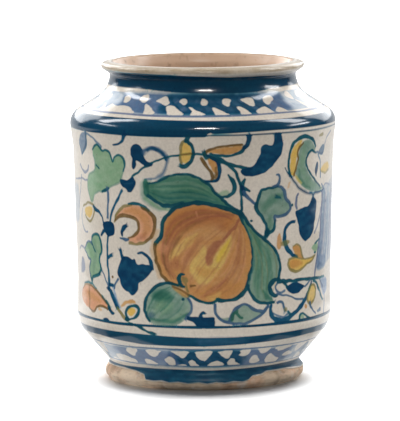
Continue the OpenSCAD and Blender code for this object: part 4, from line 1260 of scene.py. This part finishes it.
def inside_border(points, top, margin):
    """The points that lie inside the sheet, clear of its edge."""
    low = along_of(glaze_edge_at(points[:, 0]))
    keep = (np.abs(points[:, 0]) < HALF_ROUND - margin) & (points[:, 1] < top - margin)
    return points[keep & (points[:, 1] > low + margin)]


def triangulated(edge, foot_count, points):
    """A sheet of triangles over the points, inside the edge."""
    places = [Vector(p) for p in np.concatenate([edge, points])]
    found = delaunay_2d_cdt(places, [], [list(range(len(edge)))], 1, 1e-6, False)
    corners = np.array([tuple(v) for v in found[0]])
    faces = np.array(found[2])
    middles = corners[faces].mean(1)
    foot = edge[:foot_count]
    return corners, faces[middles[:, 1] > np.interp(middles[:, 0], foot[:, 0], foot[:, 1])]


def glaze_sheet():
    """The painted glaze before it is wound: a seen face, a face on the clay, and edges that join them.
    Each point is (s, place along the clay, height over the clay)."""
    top = clay_along[-1]
    edge, foot_count, rise_count = border(top)
    reach = np.concatenate([edge_points(mark) for mark in reversed(marks)])
    reach = one_per_cell(inside_border(reach, top, MARK_MARGIN), CELL)
    rows = row_places()
    plain = inside_border(np.concatenate([even_points(rows), panel_points()]), top, PLAIN_MARGIN)
    plain = one_per_cell(off_band_edges(clear_of(plain, reach, CLEAR_OF_MARKS)), PLAIN_CELL)
    seen, seen_faces = triangulated(edge, foot_count, np.concatenate([reach, plain]))
    coarse = inside_border(even_points(rows[::2])[::2], top, BED_MARGIN)
    hidden, hidden_faces = triangulated(edge, foot_count, coarse)
    first = len(seen)
    faces = [tuple(f) for f in seen_faces]
    faces += [tuple(first + v for v in reversed(f)) for f in hidden_faces]
    lip_start = foot_count + rise_count - 2
    for start in (0, lip_start):
        for i in range(start, start + foot_count - 1):
            faces.append((i + 1, i, first + i, first + i + 1))
    points = np.concatenate([np.column_stack([seen, np.full(len(seen), GLAZE_T)]),
                             np.column_stack([hidden, np.full(len(hidden), GLAZE_BED)])])
    return points, faces, first


# The longest step between rows of a plain sheet
TURNED_STEP = 4.0


def turned_sheet(line):
    """A plain sheet for a profile that starts and ends on the axis."""
    along = lengths(line)
    places = [0.0]
    for a, b in zip(along[:-1], along[1:]):
        steps = max(1, math.ceil((b - a) / TURNED_STEP))
        places += list(a + (b - a) * np.arange(1, steps + 1) / steps)
    s = np.linspace(-HALF_ROUND, HALF_ROUND, TURNS_OF_MESH + 1)
    points = np.array([(x, y, 0.0) for y in places for x in s])
    wide = len(s)
    faces = [(r * wide + c, r * wide + c + 1, (r + 1) * wide + c + 1, (r + 1) * wide + c)
             for r in range(len(places) - 1) for c in range(wide - 1)]
    return points, faces


def add(tree, kind, inputs=None, **settings):
    """Adds a node. Settings go on the node; inputs are values, or sockets that feed it."""
    made = tree.nodes.new(kind)
    for name, value in settings.items():
        setattr(made, name, value)
    for name, value in (inputs or {}).items():
        if isinstance(value, bpy.types.NodeSocket):
            tree.links.new(value, made.inputs[name])
        else:
            made.inputs[name].default_value = value
    return made


def turned_point():
    """Node group: a point of a flat sheet (angle, along, off) as a place on the turned jar."""
    tree = bpy.data.node_groups.new("turned_point", "GeometryNodeTree")
    for name, kind in (("Profile", "Geometry"), ("Sheet", "Vector"), ("Unevenness", "Float"),
                       ("Ridges", "Float")):
        tree.interface.new_socket(name, in_out="INPUT", socket_type="NodeSocket" + kind)
    tree.interface.new_socket("Place", in_out="OUTPUT", socket_type="NodeSocketVector")
    given = add(tree, "NodeGroupInput").outputs
    flat = add(tree, "ShaderNodeSeparateXYZ", {0: given["Sheet"]}).outputs
    found = add(tree, "GeometryNodeSampleCurve", {"Curves": given["Profile"], "Length": flat["Y"]},
                mode="LENGTH").outputs
    spot = add(tree, "ShaderNodeSeparateXYZ", {0: found["Position"]}).outputs
    way = add(tree, "ShaderNodeSeparateXYZ", {0: found["Tangent"]}).outputs
    out = add(tree, "ShaderNodeMath", {0: flat["Z"], 1: way["Z"], 2: spot["X"]}, operation="MULTIPLY_ADD")
    drop = add(tree, "ShaderNodeMath", {0: flat["Z"], 1: way["X"]}, operation="MULTIPLY")
    height = add(tree, "ShaderNodeMath", {0: spot["Z"], 1: drop.outputs[0]}, operation="SUBTRACT").outputs[0]
    sine = add(tree, "ShaderNodeMath", {0: flat["X"]}, operation="SINE").outputs[0]
    cosine = add(tree, "ShaderNodeMath", {0: flat["X"]}, operation="COSINE").outputs[0]
    radius = out.outputs[0]
    for amount, lumps, rise in (("Unevenness", 0.7, 9.0), ("Ridges", 0.35, 150.0)):
        tall = add(tree, "ShaderNodeMath", {0: height, 1: rise}, operation="MULTIPLY").outputs[0]
        wide = [add(tree, "ShaderNodeMath", {0: part, 1: lumps}, operation="MULTIPLY").outputs[0]
                for part in (sine, cosine)]
        where = add(tree, "ShaderNodeCombineXYZ", {"X": wide[0], "Y": wide[1], "Z": tall}).outputs[0]
        noise = add(tree, "ShaderNodeTexNoise", {"Vector": where, "Scale": 1.0, "Detail": 0.0})
        swing = add(tree, "ShaderNodeMath", {0: noise.outputs[0], 1: 0.5}, operation="SUBTRACT").outputs[0]
        share = add(tree, "ShaderNodeMath", {0: swing, 1: given[amount], 2: 1.0}, operation="MULTIPLY_ADD")
        radius = add(tree, "ShaderNodeMath", {0: radius, 1: share.outputs[0]},
                     operation="MULTIPLY").outputs[0]
    x = add(tree, "ShaderNodeMath", {0: radius, 1: sine}, operation="MULTIPLY").outputs[0]
    back = add(tree, "ShaderNodeMath", {0: radius, 1: cosine}, operation="MULTIPLY").outputs[0]
    y = add(tree, "ShaderNodeMath", {0: back, 1: -1.0}, operation="MULTIPLY").outputs[0]
    made = add(tree, "ShaderNodeCombineXYZ", {"X": x, "Y": y, "Z": height}).outputs[0]
    add(tree, "NodeGroupOutput", {"Place": made})
    return tree


# Small steps round the jar and along it, which show which way the surface faces
SIDE_STEPS = ((0.004, 0.0, 0.0), (0.0, 0.3 * MM, 0.0))
# Points of the seam and of the axis that lie this close become one
WELD = 0.002 * MM


def wheel(point_group):
    """Node tree: winds a flat sheet round the axis on a profile, as clay turns on the wheel."""
    tree = bpy.data.node_groups.new("wheel", "GeometryNodeTree")
    for name, kind in (("Sheet", "Geometry"), ("Profile", "Object"), ("Finish", "Material"),
                       ("Unevenness", "Float"), ("Ridges", "Float")):
        tree.interface.new_socket(name, in_out="INPUT", socket_type="NodeSocket" + kind)
    tree.interface.new_socket("Jar", in_out="OUTPUT", socket_type="NodeSocketGeometry")
    given = add(tree, "NodeGroupInput").outputs
    profile = add(tree, "GeometryNodeObjectInfo", {"Object": given["Profile"]}).outputs["Geometry"]
    sheet = add(tree, "GeometryNodeInputPosition").outputs[0]

    def place_at(shift):
        at = add(tree, "ShaderNodeVectorMath", {0: sheet, 1: shift}, operation="ADD").outputs[0]
        turned = add(tree, "GeometryNodeGroup", node_tree=point_group)
        for name, socket in (("Profile", profile), ("Sheet", at), ("Unevenness", given["Unevenness"]),
                             ("Ridges", given["Ridges"])):
            tree.links.new(socket, turned.inputs[name])
        return turned.outputs[0]

    sides_of = [add(tree, "ShaderNodeVectorMath", {0: place_at(shift), 1: place_at([-a for a in shift])},
                    operation="SUBTRACT").outputs[0]
                for shift in SIDE_STEPS]
    across = add(tree, "ShaderNodeVectorMath", {0: sides_of[0], 1: sides_of[1]}, operation="CROSS_PRODUCT")
    facing = add(tree, "ShaderNodeVectorMath", {0: across.outputs[0]}, operation="NORMALIZE").outputs[0]
    marked = add(tree, "GeometryNodeStoreNamedAttribute",
                 {"Geometry": given["Sheet"], "Name": "facing", "Value": facing},
                 data_type="FLOAT_VECTOR", domain="POINT").outputs[0]
    wound = add(tree, "GeometryNodeSetPosition",
                {"Geometry": marked, "Position": place_at((0.0, 0.0, 0.0))}).outputs[0]
    closed = add(tree, "GeometryNodeMergeByDistance", {"Geometry": wound, "Distance": WELD}).outputs[0]
    whole = add(tree, "GeometryNodeRealizeInstances", {"Geometry": closed}).outputs[0]
    done = add(tree, "GeometryNodeSetMaterial", {"Geometry": whole, "Material": given["Finish"]}).outputs[0]
    add(tree, "NodeGroupOutput", {"Jar": done})
    return tree


def profile_curve(name, line):
    """A profile as a curve in the plane of the axis, which the wheel samples."""
    data = bpy.data.curves.new(name, "CURVE")
    data.dimensions = "3D"
    spline = data.splines.new("POLY")
    spline.points.add(len(line) - 1)
    for point, (r, z) in zip(spline.points, line):
        point.co = (r * MM, 0.0, z * MM, 1.0)
    made = bpy.data.objects.new(name, data)
    bpy.context.scene.collection.objects.link(made)
    return made


# How far a thrown jar strays from round, as shares of its radius: slow lumps and the fingers' ridges
UNEVENNESS = 0.010
RIDGES = 0.0045


def turn(name, points, faces, line, finish, tree, paint=None):
    """Winds a sheet on its profile and leaves a plain mesh."""
    sheet = bpy.data.meshes.new(name)
    scale = np.array([1 / UNROLL_R, MM, MM])
    sheet.from_pydata((points * scale).tolist(), [], faces)
    if paint is not None:
        layer = sheet.attributes.new("paint", "FLOAT_COLOR", "POINT")
        layer.data.foreach_set("color", np.column_stack(paint).astype(np.float32).ravel())
    sheet.shade_smooth()
    piece = bpy.data.objects.new(name, sheet)
    bpy.context.scene.collection.objects.link(piece)
    curve = profile_curve(name + "_profile", line)
    modifier = piece.modifiers.new("wheel", "NODES")
    modifier.node_group = tree
    values = {"Profile": curve, "Finish": finish, "Unevenness": UNEVENNESS, "Ridges": RIDGES}
    for socket in tree.interface.items_tree:
        if socket.in_out == "INPUT" and socket.name in values:
            modifier[socket.identifier] = values[socket.name]
    bpy.context.view_layer.update()
    graph = bpy.context.evaluated_depsgraph_get()
    mesh = bpy.data.meshes.new_from_object(piece.evaluated_get(graph), preserve_all_data_layers=True,
                                           depsgraph=graph)
    piece.modifiers.clear()
    piece.data = mesh
    bpy.data.objects.remove(curve)
    close_up(mesh)
    return piece


NO_LENGTH = 1e-7
# Where face and surface agree less than this, the mesh has an edge
SHARP_EDGE = 0.8


def close_up(mesh):
    """Turns faces outward and shades the mesh by the true directions of the turned surface."""
    shape = bmesh.new()
    shape.from_mesh(mesh)
    bmesh.ops.dissolve_degenerate(shape, dist=NO_LENGTH, edges=shape.edges)
    bmesh.ops.recalc_face_normals(shape, faces=shape.faces)
    shape.to_mesh(mesh)
    shape.free()
    count = len(mesh.vertices)
    facing = np.zeros(count * 3, np.float32)
    mesh.attributes["facing"].data.foreach_get("vector", facing)
    rough = np.zeros(count * 3, np.float32)
    mesh.vertex_normals.foreach_get("vector", rough)
    facing, rough = facing.reshape(-1, 3), rough.reshape(-1, 3)
    agree = (facing * rough).sum(1)
    facing[agree < 0] *= -1
    facing[np.abs(agree) < SHARP_EDGE] = 0.0
    mesh.attributes.remove(mesh.attributes["facing"])
    mesh.normals_split_custom_set_from_vertices(facing.tolist())


def material(name):
    """An empty node material: its tree, the shader and Object coordinates."""
    made = bpy.data.materials.new(name)
    made.use_nodes = True
    tree = made.node_tree
    return made, tree, tree.nodes["Principled BSDF"], add(tree, "ShaderNodeTexCoord").outputs["Object"]


def per_mm(size):
    """The scale that gives a pattern that size in millimetres."""
    return 1 / (size * MM)


def clouded(tree, where, size, detail, first, second):
    """A tone that drifts between two colours, and the clouds of that size that it drifts in."""
    clouds = add(tree, "ShaderNodeTexNoise",
                 {"Vector": where, "Scale": per_mm(size), "Detail": detail}).outputs[0]
    tone = add(tree, "ShaderNodeMix", {0: clouds, 6: paint_of(first), 7: paint_of(second)}, data_type="RGBA")
    return tone.outputs[2], clouds


def stained(tree, tone, amount, low, high, most, colour):
    """A tone with another colour over it, from none where an amount is low to the most where it is high."""
    share = add(tree, "ShaderNodeMapRange", {"Value": amount, "From Min": low, "From Max": high,
                                             "To Max": most}).outputs[0]
    return add(tree, "ShaderNodeMix", {0: share, 6: tone, 7: paint_of(colour)}, data_type="RGBA").outputs[2]


# The glaze on the foot is worn up to the first height, and sound from the second
WORN_BELOW = 11 * MM
SOUND_ABOVE = 15 * MM


def painted_tin_glaze():
    """Tin glaze fired over earthenware: opaque creamy white, glassy, with a few pin-holes and specks, and
    worn dull on the foot. The colours have sunk into it, so they shine as the white does."""
    made, tree, shader, where = material("painted_tin_glaze")
    white, clouds = clouded(tree, where, 26, 4.0, "#ece5da", "#dad0c0")
    specks = add(tree, "ShaderNodeTexNoise", {"Vector": where, "Scale": per_mm(1.6), "Detail": 2.0})
    white = stained(tree, white, specks.outputs[0], 0.70, 0.78, 0.5, "#8f7c64")
    paint = add(tree, "ShaderNodeAttribute", attribute_name="paint").outputs
    tinted = add(tree, "ShaderNodeMix", {0: 1.0, 6: white, 7: paint["Color"]}, data_type="RGBA",
                 blend_type="MULTIPLY").outputs[2]
    grain = add(tree, "ShaderNodeTexNoise", {"Vector": where, "Scale": per_mm(1.5), "Detail": 3.0})
    laid = add(tree, "ShaderNodeMapRange", {"Value": grain.outputs[0], "From Min": 0.3, "From Max": 0.7,
                                            "To Min": 0.92, "To Max": 1.06}).outputs[0]
    colour = add(tree, "ShaderNodeVectorMath", {0: tinted, "Scale": laid}, operation="SCALE").outputs[0]
    tree.links.new(colour, shader.inputs["Base Color"])
    gloss = add(tree, "ShaderNodeMapRange", {"Value": clouds, "To Min": 0.1, "To Max": 0.19})
    height = add(tree, "ShaderNodeSeparateXYZ", {0: where}).outputs["Z"]
    foot = {"Value": height, "From Min": WORN_BELOW, "From Max": SOUND_ABOVE}
    worn = add(tree, "ShaderNodeMapRange", {**foot, "To Min": 0.2, "To Max": 0.0}).outputs[0]
    dull = add(tree, "ShaderNodeMath", {0: gloss.outputs[0], 1: worn}, operation="ADD").outputs[0]
    tree.links.new(dull, shader.inputs["Roughness"])
    shine = add(tree, "ShaderNodeMapRange", {**foot, "To Min": 0.2, "To Max": 0.5}).outputs[0]
    tree.links.new(shine, shader.inputs["Specular IOR Level"])
    shader.inputs["IOR"].default_value = 1.58
    swell = add(tree, "ShaderNodeTexNoise", {"Vector": where, "Scale": per_mm(9), "Detail": 2.0})
    skin = add(tree, "ShaderNodeBump", {"Height": swell.outputs[0], "Distance": 0.10 * MM, "Strength": 1.0})
    body = add(tree, "ShaderNodeBump", {"Height": paint["Alpha"], "Distance": 0.03 * MM, "Strength": 1.0,
                                        "Normal": skin.outputs[0]})
    tree.links.new(body.outputs[0], shader.inputs["Normal"])
    return made


def biscuit_earthenware():
    """Unglazed earthenware off the wheel: dry buff clay with pink and pale patches, turning lines and grit,
    and a little darker except on its left side."""
    made, tree, shader, where = material("biscuit_earthenware")
    clay = clouded(tree, where, 14, 5.0, "#f3e2cb", "#cfb599")[0]
    patches = ((24, 0.48, 0.6, "#e8b08a"), (10, 0.55, 0.66, "#f8f0e6"), (12, 0.52, 0.64, "#94836e"))
    for size, low, high, tone in patches:
        patch = add(tree, "ShaderNodeTexNoise", {"Vector": where, "Scale": per_mm(size), "Detail": 3.0})
        clay = stained(tree, clay, patch.outputs[0], low, high, 0.6, tone)
    across = add(tree, "ShaderNodeSeparateXYZ", {0: where}).outputs["X"]
    # A little darker everywhere right of a line just left of the front
    clay = stained(tree, clay, across, -44 * MM, -30 * MM, 0.16, "#75674f")
    flat = add(tree, "ShaderNodeMapping", {"Vector": where, "Scale": (0.2, 0.2, 1.0)}).outputs[0]
    grit = add(tree, "ShaderNodeTexNoise", {"Vector": flat, "Scale": per_mm(1.3), "Detail": 4.0})
    clay = stained(tree, clay, grit.outputs[0], 0.5, 0.75, 0.45, "#6d5a47")
    tree.links.new(clay, shader.inputs["Base Color"])
    shader.inputs["Roughness"].default_value = 0.85
    lines = add(tree, "ShaderNodeTexNoise", {"Vector": flat, "Scale": per_mm(1.2), "Detail": 2.0})
    turned = add(tree, "ShaderNodeBump", {"Height": lines.outputs[0], "Distance": 0.25 * MM})
    dry = add(tree, "ShaderNodeBump", {"Height": grit.outputs[0], "Distance": 0.2 * MM,
                                       "Normal": turned.outputs[0]})
    tree.links.new(dry.outputs[0], shader.inputs["Normal"])
    return made


def clear_lining_glaze():
    """A thin clear glaze over the clay inside: pinkish buff, duller than the white, with brown stains."""
    made, tree, shader, where = material("clear_lining_glaze")
    tone = clouded(tree, where, 18, 5.0, "#dfc5ac", "#bd9a7f")[0]
    stain = add(tree, "ShaderNodeTexNoise", {"Vector": where, "Scale": per_mm(5), "Detail": 4.0})
    tone = stained(tree, tone, stain.outputs[0], 0.58, 0.78, 0.6, "#8d6b50")
    tree.links.new(tone, shader.inputs["Base Color"])
    gloss = add(tree, "ShaderNodeMapRange", {"Value": stain.outputs[0], "To Min": 0.2, "To Max": 0.45})
    tree.links.new(gloss.outputs[0], shader.inputs["Roughness"])
    shader.inputs["IOR"].default_value = 1.5
    flat = add(tree, "ShaderNodeMapping", {"Vector": where, "Scale": (0.15, 0.15, 1.0)}).outputs[0]
    rings = add(tree, "ShaderNodeTexNoise", {"Vector": flat, "Scale": per_mm(6), "Detail": 1.0})
    bump = add(tree, "ShaderNodeBump", {"Height": rings.outputs[0], "Distance": 0.4 * MM})
    tree.links.new(bump.outputs[0], shader.inputs["Normal"])
    return made


def studio_floor():
    """A pale matt sweep under the jar."""
    made, tree, shader, where = material("pale_paper_sweep")
    tone = clouded(tree, where, 3, 2.0, "#fbfbfb", "#f6f6f6")[0]
    tree.links.new(tone, shader.inputs["Base Color"])
    shader.inputs["Roughness"].default_value = 0.95
    return made


paint_jar()
turned_point_group = turned_point()
wheel_tree = wheel(turned_point_group)

sheet_points, sheet_faces, seen_count = glaze_sheet()
sheet_tint, sheet_body = painted(sheet_points[:seen_count, :2])
unseen = len(sheet_points) - seen_count
sheet_tint = np.concatenate([sheet_tint, np.ones((unseen, 3))])
sheet_body = np.concatenate([sheet_body, np.zeros(unseen)])
painted_glaze = turn("painted_glaze", sheet_points, sheet_faces, clay_line, painted_tin_glaze(), wheel_tree,
                     (sheet_tint, sheet_body))

base_line = np.array([(0.0, HOLLOW_D), (HOLLOW_R - HOLLOW_EDGE, HOLLOW_D)])
clay_profile = np.concatenate([base_line, clay_line, inside_line[1:]])
clay_wall = turn("clay_wall", *turned_sheet(clay_profile), clay_profile, biscuit_earthenware(), wheel_tree)

# The lining's bed lies a little over the clay
LINING_BED = np.array([0.0, 0.03])
lining_profile = np.concatenate([inside_line[::-1] + LINING_BED, lining_line])
lining = turn("lining", *turned_sheet(lining_profile), lining_profile, clear_lining_glaze(), wheel_tree)

for piece, slot, nodes in (
        (painted_glaze, "tin_glaze", ["outer_glaze", "foot_band", "wall_band", "shoulder_band", "neck_band",
                                      "drawn_lines"]),
        (clay_wall, "earthenware", ["clay_body"]),
        (lining, "clear_glaze", ["lining_glaze"])):
    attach(piece, "root")
    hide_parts(*nodes)

# The stage: a pale sweep, soft windows at both sides and a lamp in front. The sweep has lights of its own,
# and cards in its place throw light back on the jar.
SWEEP = 15.0
SWEEP_Z = -0.0002
sheet = bpy.data.meshes.new("sweep")
sheet.from_pydata([(x * SWEEP, y * SWEEP, 0.0) for x, y in ((-1, -1), (1, -1), (1, 1), (-1, 1))], [],
                  [(0, 1, 2, 3)])
sheet.materials.append(studio_floor())
floor = bpy.data.objects.new("sweep", sheet)
floor.location.z = SWEEP_Z
bpy.context.scene.collection.objects.link(floor)
sweep_only = bpy.data.collections.new("sweep_only")
sweep_only.objects.link(floor)
floor.visible_glossy = False
floor.visible_diffuse = False
floor.visible_shadow = False


# Lights are placed in metres, the windows, panes and the lamp round the jar's middle
MIDDLE = (0.0, 0.0, 0.1)
UP = Vector((0.0, 0.0, 1.0))
NEAR_SIZE = (0.06, 0.08)
jar_only = bpy.data.collections.new("jar_only")
for piece in (painted_glaze, clay_wall, lining):
    jar_only.objects.link(piece)
glaze_only = bpy.data.collections.new("glaze_only")
glaze_only.objects.link(painted_glaze)


def soft_light(name, spot, aim, size, power, receivers):
    """A broad soft light that faces a point and falls on those pieces alone."""
    data = bpy.data.lights.new(name, "AREA")
    data.shape = "RECTANGLE"
    data.size, data.size_y = size
    data.energy = power
    made = bpy.data.objects.new(name, data)
    made.location = spot
    made.rotation_euler = (Vector(aim) - Vector(spot)).to_track_quat("-Z", "Y").to_euler()
    bpy.context.scene.collection.objects.link(made)
    made.light_linking.receiver_collection = receivers


def round_jar(bearing, rise, far):
    """A place that far from the jar's middle, turned from the front and raised by those degrees."""
    bearing, rise = math.radians(bearing), math.radians(rise)
    flat = far * math.cos(rise)
    return (flat * math.sin(bearing), -flat * math.cos(bearing), MIDDLE[2] + far * math.sin(rise))


for name, spot, size, power in (
        ("left_window", round_jar(-82, 40, 1.2), (1.2, 1.0), 6.8),
        ("left_pane", round_jar(-111, 46, 1.2), (0.26, 0.55), 4.4),
        ("left_low_pane", round_jar(-98, 27, 1.2), (0.5, 0.10), 1.1),
        ("right_window", round_jar(60, 42, 1.2), (1.0, 0.8), 1.2),
        ("right_pane", round_jar(103, 46, 1.2), (0.34, 0.6), 5.0),
        ("right_low_pane", round_jar(95, 24, 1.2), (0.5, 0.12), 2.2),
        ("left_card", round_jar(-147, 25, 1.4), (0.95, 0.75), 7.0),
        ("right_card", round_jar(147, 25, 1.4), (0.95, 0.75), 6.0),
        ("front_lamp", round_jar(3, 38, 1.6), (0.42, 0.06), 6.6)):
    soft_light(name, spot, MIDDLE, size, power, jar_only)
bpy.data.lights["front_lamp"].color = linear("#fff7f0")

# Cards that face up lie in steps, because one that is level with another hides it
for name, spot, size, power, receivers in (
        ("front_card", (0.0, -0.20, -0.001), (0.9, 0.26), 0.60, jar_only),
        ("side_card", (0.0, 0.18, -0.001), (0.7, 0.24), 0.26, jar_only),
        ("side_card_2", (0.0, 0.16, -0.002), (0.7, 0.28), 0.30, jar_only),
        ("side_card_3", (0.0, 0.14, -0.003), (0.7, 0.32), 0.35, jar_only),
        ("left_near_card", (-0.06, -0.025, -0.004), NEAR_SIZE, 0.007, jar_only),
        ("left_sheen_card", (-0.06, -0.025, -0.005), NEAR_SIZE, 0.0065, glaze_only),
        ("right_near_card", (0.06, -0.025, -0.004), NEAR_SIZE, 0.0022, jar_only),
        ("right_sheen_card", (0.06, -0.025, -0.005), NEAR_SIZE, 0.0046, glaze_only),
        ("floor_card", (0.0, 1.65, -0.001), (6.0, 2.7), 44.0, jar_only)):
    soft_light(name, spot, Vector(spot) + UP, size, power, receivers)
soft_light("back_wall", (0.0, 3.0, 0.75), (0.0, 0.0, 0.75), (6.0, 1.5), 22.0, jar_only)
for name, spot, size, power in (
        ("contact_light", (0.0, -0.175, 2.2), (2.8, 0.35), 10.0),
        ("near_light", (0.0, 0.8, 2.2), (2.8, 1.6), 260.0),
        ("far_light", (0.0, 2.8, 2.3), (4.0, 1.6), 110.0)):
    soft_light(name, spot, Vector(spot) - UP, size, power, sweep_only)
for name in ("left_window", "right_window", "front_card"):
    bpy.data.objects[name].visible_glossy = False

world = bpy.data.worlds.new("studio")
world.use_nodes = True
bpy.context.scene.world = world
sky = world.node_tree.nodes["Background"]
sky.inputs["Color"].default_value = (1.0, 1.0, 1.0, 1.0)
sky.inputs["Strength"].default_value = 0.05
bpy.context.scene.view_settings.view_transform = "Standard"

# The camera, placed where the jar's outline and levels look as they do from the front
EYE = Vector((-2.16, -2413.0, 391.0)) * MM
AIM = Vector((-2.16, 0.0, 99.5)) * MM
ROLL = math.radians(-0.35)
camera_data = bpy.data.cameras.new("camera")
camera_data.sensor_width = 36.0
camera_data.lens = 347.2
camera_data.clip_end = 50.0
camera = bpy.data.objects.new("camera", camera_data)
camera.matrix_world = (Matrix.Translation(EYE) @ (AIM - EYE).to_track_quat("-Z", "Y").to_matrix().to_4x4()
                       @ Matrix.Rotation(ROLL, 4, "Z"))
bpy.context.scene.collection.objects.link(camera)
bpy.context.scene.camera = camera
